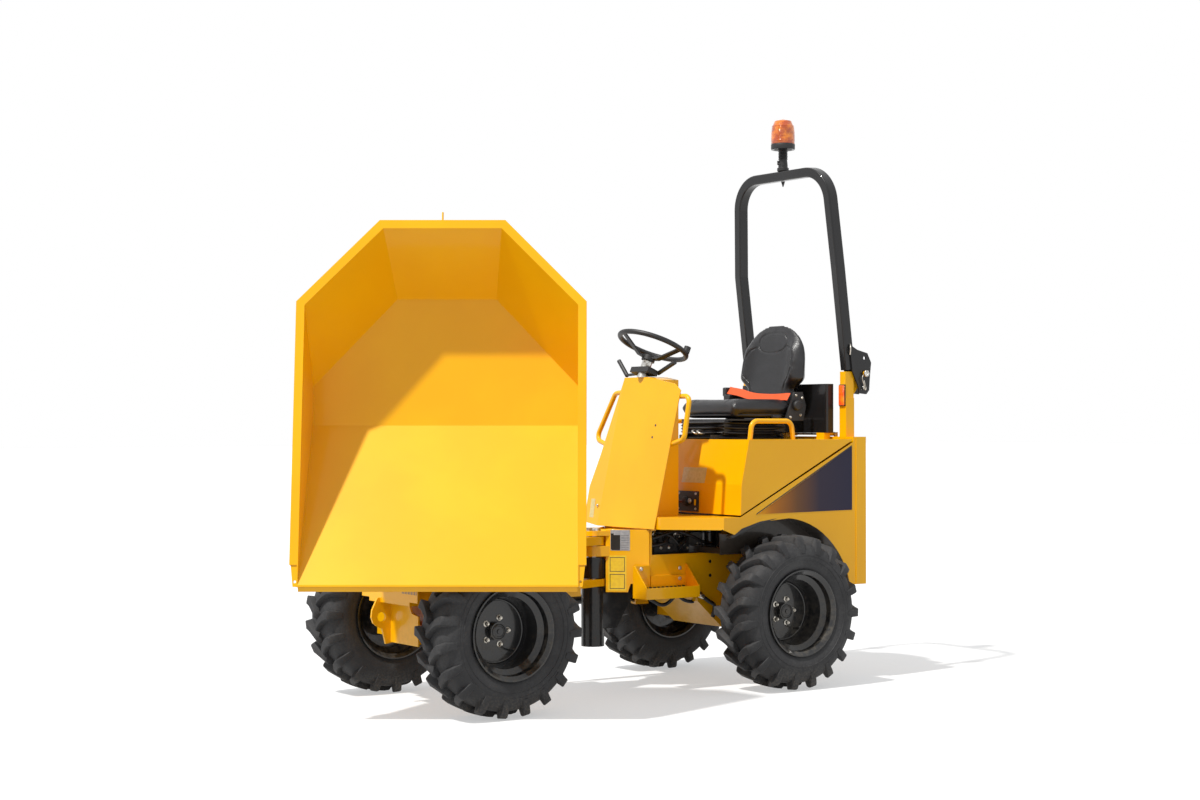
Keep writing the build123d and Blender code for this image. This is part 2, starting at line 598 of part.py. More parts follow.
def front_chassis():
    low, half, wall = FRONT_LOW, FRONT_HALF, PLATE
    # box frame over the axle
    frame = block(FRAME_REAR, FRONT_END, -half, half, low, DECK_Z)
    frame -= block(FRAME_REAR + wall, FRONT_END - wall, -half + wall, half - wall, low - 10,
                   DECK_Z - 12)
    mid = TYRE_D / 2
    axle = block(WHEELBASE - AXLE_HALF, WHEELBASE + AXLE_HALF, -MOTOR_IN, MOTOR_IN, mid - 80, low + 2)
    axle -= block(WHEELBASE - AXLE_HALF + wall, WHEELBASE + AXLE_HALF - wall, -MOTOR_IN + 12,
                  MOTOR_IN - 12, mid - 68, low + 10)
    # tongue: an eye in the knuckle's slot, and one on a post between the fork ears
    eyes = eye_plate(FRAME_REAR + 2, 140, PIVOT_X, TONGUE_R, SLOT_Z[0] + EYE_GAP, SLOT_Z[1] - EYE_GAP)
    top = FORK_Z[0] + FORK_LOW + EYE_GAP, FORK_Z[1] - FORK_HIGH - EYE_GAP
    eyes += eye_plate(FRAME_REAR + 2, 100, PIVOT_X, FORK_R, *top)
    eyes += block(FRAME_REAR, FRAME_REAR + 60, -100, 100, DECK_Z - 1, top[1])
    frame += axle + eyes
    frame -= rod_z(PIVOT_X, 0, PIVOT_R + SHAFT_FIT, low, FORK_Z[1])
    frame += nose() + rod_z(SWIVEL_X, 0, RING_R, DECK_Z - 1, RING_Z)
    # fork for the steering ram's rod eye
    x, y, z = STEER_B
    frame += block(x - 45, x + 60, -half, -half + wall, z - STEER_EAR, DECK_Z - 20)
    for base in (z - STEER_EAR, z + STEER_EAR - wall):
        frame += xy([(x - 45, -half + 1), (x + 60, -half + 1), (x + 26, y), (x - 26, y)],
                    base, base + wall) + rod_z(x, y, 26, base, base + wall)
    return frame


def nose():
    """Cover over the front of the frame, box below it, tie-down lug and side bracket."""
    x, end = NOSE_X, FRONT_END
    cover = block(end - PLATE, end, -262, 262, 498, DECK_Z)
    box = block(WHEELBASE + AXLE_HALF - 2, x, -90, 90, 292, 381)
    box -= block(WHEELBASE + AXLE_HALF, x - 8, -82, 82, 300, 400)
    box += block(x - 8, x, -90, 90, 380, 500)
    lug = xz([(x - 6, 288), (x + 26, 284), (x + 44, 356), (x + 72, 368), (x + 91, 383), (x + 101, 410),
              (x + 97, 444), (x + 69, 500), (x - 6, 500)], -96, -84)
    lug -= rod_y(x + 48, 411, 22.5, -100, -80)
    bracket = yz([(64, 292), (172, 292), (172, 429), (110, 440), (80, 500), (64, 500)], x - 8, x)
    return cover + box + lug + bracket


def pivot_pin():
    head = rod_z(PIVOT_X, 0, 40, FORK_Z[1], PIVOT_HEAD)
    return rod_z(PIVOT_X, 0, PIVOT_R, KNUCKLE_Z[0], PIVOT_HEAD) + head


def ram(length, closed, r_out, r_rod, eye_r, pin_r, eye_w):
    """Barrel and rod along +Z, eye to eye; the barrel is open at its gland."""
    tube = closed - eye_r - 30
    bore = r_out - 6
    barrel = Pos(0, 0, 14 + tube / 2) * Cylinder(r_out, tube)
    barrel -= Pos(0, 0, eye_r + 14 + tube / 2) * Cylinder(bore, tube)
    barrel += Pos(0, 0, 14 + tube - 8) * (Cylinder(r_out, 16) - Cylinder(r_rod + SHAFT_FIT * 2, 20))
    barrel += Rot(90, 0, 0) * Cylinder(eye_r, eye_w)
    barrel -= Rot(90, 0, 0) * Cylinder(pin_r + SHAFT_FIT, eye_w + 4)
    inside = eye_r + 30 + (length - closed)
    shaft = Pos(0, 0, (inside + length) / 2) * Cylinder(r_rod, length - inside)
    shaft += Pos(0, 0, inside + 10) * Cylinder(bore - 0.5, 20)
    shaft += Pos(0, 0, length) * (Rot(90, 0, 0) * Cylinder(eye_r, eye_w))
    return barrel, shaft


def steer_ram():
    (ax, ay, z), (bx, by, _) = STEER_A, STEER_B
    length = sqrt((bx - ax) ** 2 + (by - ay) ** 2)
    barrel, shaft = ram(length, length - 165, 25, 14, 21, 11, 40)
    place = Plane(origin=(ax, ay, z), x_dir=(ay - by, bx - ax, 0), z_dir=(bx - ax, by - ay, 0))
    return place * barrel, place * shaft


# ---- skip, drawn along the turntable: x ahead, y left, from its axis -----------
CRADLE_Z = RING_Z + 55


def turntable():
    """Slew ring bolted on the front chassis."""
    return rod_z(0, 0, RING_R, RING_Z, RING_Z + 20) + rod_z(0, 0, 90, RING_Z, CRADLE_Z - 5)


def cradle():
    base = rod_z(0, 0, 240, CRADLE_Z, CRADLE_Z + 14)
    base += rod_z(0, 0, 130, RING_Z + 25, CRADLE_Z)
    base -= rod_z(0, 0, 90 + SHAFT_FIT, RING_Z, CRADLE_Z - 5 + 0.5)
    arm_line = [(-230, CRADLE_Z + 1), (225, CRADLE_Z + 1), (300, 778), (HINGE_U + 10, 812),
                (HINGE_U + 30, HINGE_Z), (HINGE_U, HINGE_Z + 36), (380, HINGE_Z - 10), (60, 775),
                (-230, 775)]
    arms = xz(arm_line, 190, 206) + rod_y(HINGE_U, HINGE_Z, 42, 184, 212)
    arms += mirrored(arms)
    base += block(-230, 240, -206, 206, CRADLE_Z, CRADLE_Z + 14)
    ties = block(-230, -216, -200, 200, CRADLE_Z, 750)
    # ears for the tip ram
    ears = None
    ax, az = RAM_A
    for y in (-52.0, 40.0):
        ear = xz([(ax - 60, CRADLE_Z + 4), (ax + 30, CRADLE_Z + 4), (ax + 26, az + 10), (ax, az + 26),
                  (ax - 26, az + 10)], y, y + 12)
        ears = ear if ears is None else ears + ear
    plate_ = block(200, ax + 30, -70, 70, CRADLE_Z, CRADLE_Z + 14)
    pin = rod_y(ax, az, 14, -52, 52)
    hinge = rod_y(HINGE_U, HINGE_Z, 18, -250, 250)
    return base + arms + ties + ears + plate_ + pin + hinge


def tub_plane():
    """Frame of the opening: x from the lip up the side, z out of the opening."""
    a = radians(SKIP_LEAN)
    return Plane(origin=(LIP_U, 0, LIP_Z), x_dir=(-sin(a), 0, cos(a)), z_dir=(cos(a), 0, sin(a)))


FOLD = (747.0, 335.0)          # floor fold and rear fold: from the lip, and depth
BACK = (1325.0, 310.0)
BACK_HALF = 226.0              # half width of the floor at the rear fold


def rim_line(inset):
    """The rim's two side corners, moved inward, each as distance up and half width."""
    run, fall = SKIP_LEN - SKIP_SIDE, (SKIP_W - SKIP_TOP_W) / 2
    slant = sqrt(run ** 2 + fall ** 2)
    return [(SKIP_SIDE - inset * (slant - run) / fall, SKIP_W / 2 - inset),
            (SKIP_LEN - inset, SKIP_TOP_W / 2 - inset * (slant - fall) / run)]


def rim_outline(inset, start):
    half = [(start, SKIP_W / 2 - inset)] + rim_line(inset)
    return half + [(s, -y) for s, y in reversed(half)]


def tub_solid(grow=0.0):
    """The filled tub, its walls moved outward by `grow` and carried on past the opening."""
    (s2, y2), (s3, y3) = rim_line(RIM_FLANGE - grow)
    over = 30
    line = [(-2 * grow - over, over), (-2 * grow, 0), (FOLD[0] - 0.2 * grow, -FOLD[1] - grow),
            (BACK[0] + 0.5 * grow, -BACK[1] - grow), (s3 + 0.4 * grow, 0), (s3 + over, over)]
    body = prism([(s, -y2, z) for s, z in line], (0, 2 * y2, 0))
    # each upper corner is cut by one slanting plane
    low, high = Vector(s2, y2, 0), Vector(s3, y3, 0)
    deep = Vector(BACK[0] + 0.5 * grow, BACK_HALF + grow, -BACK[1] - grow)
    cut = Plane(origin=low, x_dir=high - low, z_dir=(high - low).cross(deep - low))
    wedge = extrude(cut * Rectangle(3 * SKIP_LEN, 3 * SKIP_LEN), amount=SKIP_W)
    return body - wedge - mirrored(wedge)


def skip_tub():
    """Folded tub with its rim: flange, turned-back edge, bent lip and corner gussets."""
    tub = tub_solid(SKIP_WALL) - tub_solid()
    tub -= block(-100, 2 * SKIP_LEN, -SKIP_W, SKIP_W, 0, 60)
    rim = xy(rim_outline(0, GUSSET_TOP), -SKIP_RETURN, 0)
    rim -= xy(rim_outline(SKIP_WALL, -9), -SKIP_RETURN - 1, -SKIP_WALL)
    rim -= xy(rim_outline(RIM_FLANGE, -9), -SKIP_RETURN - 1, 1)
    lip = xz([(-6, 0), (-6 - LIP_BEND, -LIP_BEND), (-2 - LIP_BEND, -LIP_BEND - 5), (4, -6)],
             -SKIP_W / 2 + RIM_FLANGE, SKIP_W / 2 - RIM_FLANGE)
    wall = SKIP_W / 2 - RIM_FLANGE
    gusset = xy([(-8, wall + 1), (-8, wall + 22), (GUSSET_TOP + 4, SKIP_W / 2 - SKIP_WALL),
                 (GUSSET_TOP + 4, wall + 1)], -SKIP_WALL - 7, -SKIP_WALL)
    gusset -= rod_z(14, wall + 13, 6, -20, 0)
    stud = rod((SKIP_LEN - 2, 0, -12), (SKIP_LEN + 38, 0, -12), 4)
    return tub_plane() * (tub + rim + lip + gusset + mirrored(gusset) + stud)


def skip_lugs():
    """Hinge ears and ram bracket under the floor, turntable frame."""
    a = radians(SKIP_LEAN)

    def at(s, t):
        return (LIP_U - s * sin(a) - t * cos(a), LIP_Z + s * cos(a) - t * sin(a))
    slope = FOLD[1] / FOLD[0]
    root0, root1 = at(120, 120 * slope + 4), at(420, 420 * slope + 4)
    ears = xz([root0, root1, (HINGE_U - 10, HINGE_Z + 38), (HINGE_U - 38, HINGE_Z),
               (HINGE_U, HINGE_Z - 38)], 216, 232)
    ears -= rod_y(HINGE_U, HINGE_Z, 18 + SHAFT_FIT, 200, 240)
    out = ears + mirrored(ears)
    fall = (BACK[1] - FOLD[1]) / (BACK[0] - FOLD[0])
    b0, b1 = at(FOLD[0] + 60, FOLD[1] + 60 * fall + 2), at(FOLD[0] + 330, FOLD[1] + 330 * fall + 2)
    bracket = xz([b0, b1, (RAM_B[0] - 24, RAM_B[1] + 8), (RAM_B[0] - 24, RAM_B[1] - 12),
                  (RAM_B[0], RAM_B[1] - 26)], 40, 52)
    return out, bracket + mirrored(bracket)


def skip():
    ears, bracket = skip_lugs()
    return skip_tub() + ears + bracket


def tip_ram():
    """Barrel and rod along the pin line, eye to eye."""
    ax, az = RAM_A
    bx, bz = RAM_B
    length = sqrt((bx - ax) ** 2 + (bz - az) ** 2)
    barrel, rod_ = ram(length, length - 294, 25, 15, 24, 14, 70)
    place = Plane(origin=(ax, 0, az), x_dir=(bz - az, 0, ax - bx), z_dir=(bx - ax, 0, bz - az))
    return place * barrel, place * rod_


# ---- the machine --------------------------------------------------------------
save("rear_chassis", rear_chassis())
save("pivot_pin", pivot_pin())
save("pivot_knuckle", knuckle())
save("step_left", step())
save("body_shell", body_shell())
save("hood", hood())
save("hood_hinge", hood_hinge())
save("hood_rail_left", hood_rail())
save("hood_rail_right", mirrored(hood_rail()))
save("console", console())
save("console_rail_left", console_rail_left())
save("console_rail_right", console_rail_right())
save("steering_column", steering_column())
save("steering_wheel", steering_wheel(), STEER_PLACE)
save("switch_cluster", switch_cluster(), STEER_PLACE)
save("seat_base", seat_base())
save("seat_cushion", seat_cushion())
save("seat_back", seat_back())
save("back_box", back_box())
save("control_plate", control_plate())
save("engine_block", engine() + engine_feet())
save("rops_post_left", rops_post())
save("rops_post_right", mirrored(rops_post()))
HOOP = rops_hoop()
save("rops_hoop", HOOP)
save("beacon_base", beacon_base() - HOOP)
save("beacon_lens", beacon_lens())
save("front_chassis", front_chassis())
save("turntable", turntable(), SKIP_PLACE)
save("skip_cradle", cradle(), SKIP_PLACE)
save("skip_tub", skip(), SKIP_PLACE)
STEER_BARREL, STEER_ROD = steer_ram()
save("steer_ram_barrel", STEER_BARREL)
save("steer_ram_rod", STEER_ROD)
RAM_BARREL, RAM_ROD = tip_ram()
save("tip_ram_barrel", RAM_BARREL, SKIP_PLACE)
save("tip_ram_rod", RAM_ROD, SKIP_PLACE)
for name, x, side in WHEELS:
    turn = Rot(0, 0, 0) if side > 0 else Rot(0, 0, 180)
    at = Pos(x, side * TRACK / 2, TYRE_D / 2) * turn
    save(f"rim_{name}", RIM, at)
    save(f"tyre_{name}", TYRE, at)
    save(f"wheel_motor_{name}", MOTOR, Pos(x, 0, TYRE_D / 2) * turn)

lo = [min(tuple(b.min)[i] for b in PARTS.values()) for i in range(3)]
hi = [max(tuple(b.max)[i] for b in PARTS.values()) for i in range(3)]
print("box", [round(v, 1) for v in lo], [round(v, 1) for v in hi])
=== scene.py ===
# %% [markdown]
# # A site dumper, dressed for a picture
# The machine arrives as finished metal: every plate, wheel and pin is already in its place.
# What is left is what makes it look real: paint with a life of its own, tyres with tread,
# a stitched seat, bolts, hoses and a quiet studio round it. Each step below says what the
# real thing is, how it could be made, and why it is made this way here.

import math

import bmesh
import bpy
from mathutils import Matrix, Vector


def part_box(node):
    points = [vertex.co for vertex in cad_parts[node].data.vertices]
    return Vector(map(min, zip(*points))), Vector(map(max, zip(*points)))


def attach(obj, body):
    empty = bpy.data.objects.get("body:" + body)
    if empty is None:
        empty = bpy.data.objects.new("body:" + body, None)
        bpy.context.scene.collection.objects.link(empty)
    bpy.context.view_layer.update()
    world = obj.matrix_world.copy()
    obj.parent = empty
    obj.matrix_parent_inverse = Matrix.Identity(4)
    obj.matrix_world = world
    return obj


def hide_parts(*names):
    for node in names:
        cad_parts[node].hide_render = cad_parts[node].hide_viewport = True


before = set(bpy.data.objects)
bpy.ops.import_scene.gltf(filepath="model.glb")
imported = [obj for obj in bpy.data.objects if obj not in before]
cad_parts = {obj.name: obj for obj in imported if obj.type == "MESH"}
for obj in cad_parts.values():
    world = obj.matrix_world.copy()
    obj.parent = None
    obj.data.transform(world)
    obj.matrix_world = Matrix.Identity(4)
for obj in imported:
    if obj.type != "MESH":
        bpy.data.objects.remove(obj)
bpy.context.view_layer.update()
print("pieces of metal:", len(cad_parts))

# %% [markdown]
# ## Finding our way about
# A fitter measures from the rear axle, so we do too. A small function turns millimetres
# ahead of, left of and above that axle's point on the ground into a place in the scene.

# %% How to say where
MM = 0.001


def middle(node):
    low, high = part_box(node)
    return (low + high) / 2


AXLE = (middle("rim_rear_left") + middle("rim_rear_right")) / 2


def at(x, y, z):
    """Millimetres ahead, to the left and up, from the ground under the rear axle."""
    return Vector((AXLE.x + x * MM, AXLE.y + y * MM, z * MM))


print("rear axle", [round(v, 3) for v in AXLE])

# %% [markdown]
# ## Shader maths that reads like maths
# Blender's materials are graphs of nodes. Wiring them by hand hides the idea, so a small
# class wraps one output socket and lets Python's own operators build the Math nodes.
# Colours and vectors go through Mix and Vector Math, since a Math node would grey them.

# %% A socket that can be added and multiplied


class Wire:
    """One output of a node. Sums and products with it become Math nodes."""

    def __init__(self, look, socket):
        self.look, self.socket = look, socket

    def _math(self, operation, *values):
        return self.look.node("ShaderNodeMath", {"operation": operation}, dict(enumerate(values)))

    def __add__(self, other): return self._math("ADD", self, other)
    def __radd__(self, other): return self._math("ADD", other, self)
    def __sub__(self, other): return self._math("SUBTRACT", self, other)
    def __rsub__(self, other): return self._math("SUBTRACT", other, self)
    def __mul__(self, other): return self._math("MULTIPLY", self, other)
    def __rmul__(self, other): return self._math("MULTIPLY", other, self)
    def __lt__(self, other): return self._math("LESS_THAN", self, other)
    def __gt__(self, other): return self._math("GREATER_THAN", self, other)
    def __abs__(self): return self._math("ABSOLUTE", self)
    def sin(self): return self._math("SINE", self)
    def least(self, other): return self._math("MINIMUM", self, other)
    def most(self, other): return self._math("MAXIMUM", self, other)


class Graph:
    """The empty node tree of a material or a world, with its output node."""

    def __init__(self, owner, output):
        owner.use_nodes = True
        self.tree = owner.node_tree
        self.tree.nodes.clear()
        self.output = self.tree.nodes.new(output)

    def put(self, socket, value):
        if isinstance(value, Wire):
            self.tree.links.new(value.socket, socket)
        elif value is not None:
            socket.default_value = value

    def node(self, kind, settings=None, sockets=None, out=0):
        """Any node: its settings first, then its sockets by name or number."""
        made = self.tree.nodes.new(kind)
        for key, value in (settings or {}).items():
            if key == "stops":
                ramp = made.color_ramp
                while len(ramp.elements) < len(value):
                    ramp.elements.new(0.5)
                for element, (place, colour) in zip(ramp.elements, value):
                    element.position, element.color = place, colour
            else:
                setattr(made, key, value)
        for key, value in (sockets or {}).items():
            self.put(made.inputs[key], value)
        return Wire(self, made.outputs[out])

    def show(self, shader):
        """Makes a shader the result of the tree."""
        self.put(self.output.inputs[0], shader)

    def seen_as_white(self):
        """1 for rays from the camera, in a mirror or through glass, else 0."""
        camera_ray = self.node("ShaderNodeLightPath", out="Is Camera Ray")
        rays = camera_ray.socket.node.outputs
        mirrored, through = (Wire(self, rays[kind]) for kind in ("Is Glossy Ray", "Is Transmission Ray"))
        return camera_ray.most(mirrored).most(through)


class Look(Graph):
    """A material under construction, with a Principled shader to feed."""

    def __init__(self, name):
        self.material = bpy.data.materials.new(name)
        super().__init__(self.material, "ShaderNodeOutputMaterial")
        self.shader = self.tree.nodes.new("ShaderNodeBsdfPrincipled")
        self.plain = Wire(self, self.shader.outputs[0])
        self.show(self.plain)

    def set(self, **values):
        """Feeds the Principled shader, with spaces written as underscores."""
        for key, value in values.items():
            self.put(self.shader.inputs[key.replace("_", " ")], value)
        return self.material

    def place(self):
        return self.node("ShaderNodeTexCoord", out="Object")

    def axes(self, vector):
        split = self.node("ShaderNodeSeparateXYZ", None, {0: vector})
        return [Wire(self, split.socket.node.outputs[i]) for i in range(3)]

    def noise(self, vector, scale, detail=3.0, rough=0.55):
        return self.node("ShaderNodeTexNoise", None, {"Vector": vector, "Scale": scale,
                         "Detail": detail, "Roughness": rough}, "Fac")

    def cells(self, vector, scale):
        """Distance to the nearest edge between small cells."""
        return self.node("ShaderNodeTexVoronoi", {"feature": "DISTANCE_TO_EDGE"},
                         {"Vector": vector, "Scale": scale}, "Distance")

    def between(self, value, low, high):
        """Slides smoothly from 0 to 1 while value goes from low to high."""
        return self.node("ShaderNodeMapRange", {"interpolation_type": "SMOOTHSTEP"},
                         {"Value": value, "From Min": low, "From Max": high})

    def blend(self, share, a, b):
        """A colour between a and b."""
        return self.node("ShaderNodeMix", {"data_type": "RGBA"}, {0: share, 6: a, 7: b}, 2)

    def stretch(self, vector, x, y, z):
        return self.node("ShaderNodeVectorMath", {"operation": "MULTIPLY"},
                         {0: vector, 1: (x, y, z)})

    def bump(self, height, depth, strength=1.0, normal=None):
        return self.node("ShaderNodeBump", None, {"Height": height, "Distance": depth,
                         "Strength": strength, "Normal": normal})

    def soft_edge(self, radius):
        """The normal of an edge that is rounded by a small radius."""
        return self.node("ShaderNodeBevel", {"samples": 4}, {"Radius": radius})


def rgb(code):
    """A colour written as in a paint chart, in the light values that Blender wants."""
    parts = [int(code[i:i + 2], 16) / 255 for i in (0, 2, 4)]
    return tuple(c / 12.92 if c <= 0.04045 else ((c + 0.055) / 1.055) ** 2.4 for c in parts) + (1.0,)


print("paint chart check", [round(v, 3) for v in rgb("F5B800")])

# %% [markdown]
# ## Machine paint
# The panels are sprayed with one thick gloss coat. Up close such paint has a faint
# orange-peel ripple, a slightly paler film of dust near the ground, and edges where the
# coat has drawn thin. A clear coat over a coloured base gives the wet highlight, a Bevel
# node rounds the sheet's cut edges so that they catch the light, and slow noise keeps a
# large panel from looking printed.

# %% Paint


def paint(name, colour, shade, rough=0.34, coat=0.3, peel=0.00012, dust=rgb("8A6A30"), dirt=0.16,
          painted_shade=None):
    look = Look(name)
    p = look.place()
    z = look.axes(p)[2]
    slow = look.noise(p, 2.3, 4.0)
    fine = look.noise(p, 38.0, 4.0, 0.6)
    base = look.blend(look.between(slow, 0.35, 0.7), shade, colour)
    low = look.between(z, 0.62, 0.22) * look.between(fine * 0.5 + slow * 0.5, 0.42, 0.62)
    film = look.between(look.noise(p, 9.0, 6.0, 0.7), 0.55, 0.8) * 0.10
    grime = (low * dirt + film * dirt).least(1.0)
    base = look.blend(grime, base, dust)
    if painted_shade:
        # Inside the wheel arch the colour turns a dark grey-brown: partly dust, partly painted shade of the
        # arch.
        base = look.blend(painted_shade(look, p), base, look.blend(fine, rgb("2A2521"), rgb("4A423A")))
    ripple = look.noise(p, 210.0, 1.0, 0.4)
    round_edge = look.soft_edge(0.0025)
    return look.set(Base_Color=base, Roughness=rough + grime * 0.5 + (fine - 0.5) * 0.06,
                    Coat_Weight=coat - grime * coat, Coat_Roughness=0.08, Specular_IOR_Level=0.22,
                    Normal=look.bump(ripple, peel, 0.6, round_edge))


def arch_painted_shade(look, p):
    """1 on what faces the rear axle inside the wheel arch, where a dark grey-brown stands for dust and for
    painted shade.
    """
    x, y, z = look.axes(p)
    nx, _, nz = look.axes(look.node("ShaderNodeNewGeometry", out="Normal"))
    ahead, up = x - AXLE.x, z - AXLE.z
    span = ahead * ahead + up * up
    roof = (span < ARCH_REACH * ARCH_REACH) * ((nx * ahead + nz * up) < -0.05)
    wall = (span < WALL_REACH * WALL_REACH) * (up < 0.455)
    return roof.most(wall) * (abs(y - AXLE.y) < 0.4965)


ARCH_REACH, WALL_REACH = 0.497, 0.56
YELLOW = paint("yellow_paint", rgb("F4B500"), rgb("F0AE00"))
SHELL = paint("shell_paint", rgb("F4B500"), rgb("F0AE00"), painted_shade=arch_painted_shade)
BLACK = paint("black_paint", rgb("1B1B1D"), rgb("141416"), 0.36, 0.4, 0.0002, rgb("5A5650"), 0.3)
RIM_BLACK = paint("rim_black", rgb("18191C"), rgb("121315"), 0.3, 0.7, 0.0002, rgb("6A6358"), 0.45)
print("paints:", YELLOW.name, BLACK.name, RIM_BLACK.name)

# %% [markdown]
# ## Rubber, castings, bright steel, plastic
# Tyre rubber is never quite black: it bleaches to grey where it is handled, and dust
# stays in its pores. A casting has a fine sandy skin. Zinc and chrome keep a faint
# turning pattern. Moulded plastic has a spark-eroded grain. Each of these is one noise at
# the right size, used for colour, roughness and bump together, so the three agree.

# %% Rubber and hard parts


def rubber(name):
    look = Look(name)
    p = look.place()
    slow, fine = look.noise(p, 6.0, 5.0, 0.65), look.noise(p, 90.0, 5.0, 0.7)
    worn = look.between(slow * 0.6 + fine * 0.4, 0.42, 0.66)
    base = look.blend(worn, rgb("232325"), rgb("3A3A3B"))
    low = look.between(look.axes(p)[2], 0.16, 0.0) * look.between(fine, 0.4, 0.7) * 0.5
    base = look.blend(low, base, rgb("6B6256"))
    grain = fine * 0.7 + look.noise(p, 420.0, 2.0) * 0.3
    return look.set(Base_Color=base, Roughness=0.62 + fine * 0.2, Specular_IOR_Level=0.45,
                    Normal=look.bump(grain, 0.0006, 0.7))


def casting(name, colour, shade, metallic=0.0, rough=0.6, size=140.0, depth=0.0006):
    look = Look(name)
    p = look.place()
    skin = look.noise(p, size, 4.0, 0.6)
    blotch = look.between(look.noise(p, 11.0, 5.0), 0.4, 0.65)
    return look.set(Base_Color=look.blend(blotch, shade, colour), Metallic=metallic,
                    Roughness=rough + (skin - 0.5) * 0.25,
                    Normal=look.bump(skin, depth, 0.6, look.soft_edge(0.0015)))


def turned(name, colour, rough=0.28):
    look = Look(name)
    p = look.place()
    rings = look.noise(look.stretch(p, 900.0, 40.0, 900.0), 1.0, 2.0)
    tarnish = look.between(look.noise(p, 45.0, 4.0), 0.45, 0.7)
    return look.set(Base_Color=look.blend(tarnish, colour, rgb("8A8478")), Metallic=1.0,
                    Roughness=rough + tarnish * 0.2,
                    Normal=look.bump(rings, 0.00006, 0.5, look.soft_edge(0.0008)))


TYRE = rubber("tyre")
CAST = casting("cast_grey", rgb("2B2B2B"), rgb("1D1D1E"))
PLASTIC = casting("black_plastic", rgb("1E1E20"), rgb("171718"), 0.0, 0.5, 700.0, 0.00012)
STEEL = turned("bright_steel", rgb("C9C8C4"))
ZINC = turned("zinc", rgb("CFCAC0"), 0.34)
HOSE = casting("hose_rubber", rgb("161617"), rgb("0F0F10"), 0.0, 0.55, 260.0, 0.0002)
print("hard finishes ready")

# %% [markdown]
# ## Seat vinyl and belt webbing
# The seat is wipe-clean vinyl: a leathery grain of small cells pressed into a soft, fairly
# glossy skin. The belt is woven ribbon, a fine zigzag across and ribs along. Both grains
# are only a bump and a slight change of roughness, since the colour is even.

# %% Soft finishes


def vinyl(name):
    look = Look(name)
    p = look.place()
    grain = look.cells(p, 520.0)
    pores = look.between(grain, 0.0, 0.12)
    scuff = look.between(look.noise(p, 14.0, 5.0), 0.45, 0.75)
    return look.set(Base_Color=look.blend(scuff, rgb("17171A"), rgb("232327")),
                    Roughness=0.29 + scuff * 0.1, Specular_IOR_Level=0.5,
                    Normal=look.bump(pores, 0.00025, 0.5))


def webbing(name, colour, shade):
    look = Look(name)
    x, y, z = look.axes(look.place())
    weave = (x * 2200.0 + (y * 1500.0).sin() * 1.4).sin() * 0.5 + 0.5
    fuzz = look.noise(look.place(), 600.0, 3.0)
    return look.set(Base_Color=look.blend(weave * 0.5 + fuzz * 0.4, shade, colour),
                    Roughness=0.75, Normal=look.bump(weave, 0.0004, 0.8))


VINYL = vinyl("seat_vinyl")
BELT = webbing("belt_orange", rgb("F0662A"), rgb("C9441A"))
print("soft finishes:", VINYL.name, BELT.name)

# %% [markdown]
# ## Lenses, labels and plates
# The beacon's dome and the side reflectors are moulded amber plastic. Both glow faintly, with brighter
# patches: this is painted light in the amber, and fine ribs catch the highlight. The decals are thin printed
# films, so they get their own glossy material. They carry plain colour, with no words and no signs.

# %% Lens and print


def lens(name, colour, glow):
    look = Look(name)
    p = look.place()
    z = look.axes(p)[2]
    # Painted light: brighter patches of amber and a faint glow.
    painted_glow_spots = look.between(look.noise(p, 26.0), 0.35, 0.75)
    return look.set(Base_Color=look.blend(painted_glow_spots, colour, rgb("F58A10")), Roughness=0.12,
                    Coat_Weight=0.8, Emission_Color=look.blend(painted_glow_spots, colour, rgb("FF9A20")),
                    Emission_Strength=glow, Normal=look.bump((z * 1100.0).sin(), 0.0006, 0.7))


def film(name, colour, shade, rough=0.3):
    look = Look(name)
    p = look.place()
    mottle = look.between(look.noise(p, 60.0, 4.0), 0.3, 0.7)
    scratch = look.between(look.noise(look.stretch(p, 30.0, 30.0, 500.0), 1.0, 2.0), 0.6, 0.75)
    return look.set(Base_Color=look.blend(mottle, shade, colour), Roughness=rough + scratch * 0.25,
                    Coat_Weight=0.4, Normal=look.bump(mottle, 0.00004, 0.4))


# Both lenses glow a little as painted light. The reflector has no lamp behind it.
AMBER = lens("amber_lens", rgb("B04400"), 0.12)
REFLECTOR = lens("reflector", rgb("E8521A"), 0.25)
LABEL = film("label_yellow", rgb("F2CC00"), rgb("E8BE00"))
# Black print for the labels. The same material is painted shade in the holes and the nose slots.
BLACK_PRINT_AND_SHADE = film("label_black", rgb("151515"), rgb("101010"))
PLATE_GREY = film("plate_grey", rgb("A9ACB0"), rgb("93969B"), 0.35)
print("printed films ready")

# %% [markdown]
# ## The side decal's colour
# Along each flank a dark-blue wedge fades forward into the body's own yellow through
# orange. It is one colour that depends only on how far back a point lies, so a ramp along
# the machine's length gives it, and a little noise breaks the printed dots.

# %% Fading decal


def fading_decal(name, front, rear):
    look = Look(name)
    p = look.place()
    printed = look.noise(p, 300.0, 2.0) - 0.5
    along = look.node("ShaderNodeMapRange", None, {"Value": look.axes(p)[0] + printed * 0.006,
                      "From Min": front, "From Max": rear})
    colour = look.node("ShaderNodeValToRGB", {"stops": [
        (0.0, rgb("F3AE00")), (0.047, rgb("F0A400")), (0.177, rgb("B86F10")), (0.436, rgb("6B4524")),
        (0.663, rgb("2A2133")), (1.0, rgb("1A1733"))]}, {0: along})
    return look.set(Base_Color=colour, Roughness=0.3 + look.noise(p, 40.0) * 0.1, Coat_Weight=0.1,
                    Specular_IOR_Level=0.2)


DECAL_FRONT, DECAL_REAR = at(188, 0, 0).x, at(-458, 0, 0).x
DECAL = fading_decal("decal_blue", DECAL_FRONT, DECAL_REAR)
print("decal fades over", round(DECAL_FRONT - DECAL_REAR, 3), "m")

# %% [markdown]
# ## Painting the metal
# Every solid of the frame keeps its mesh and only gets a finish. A table from the start of
# a node's name to a material is shorter than forty assignments, and it cannot miss one:
# anything not listed is yellow, which is how the real machine is ordered too.

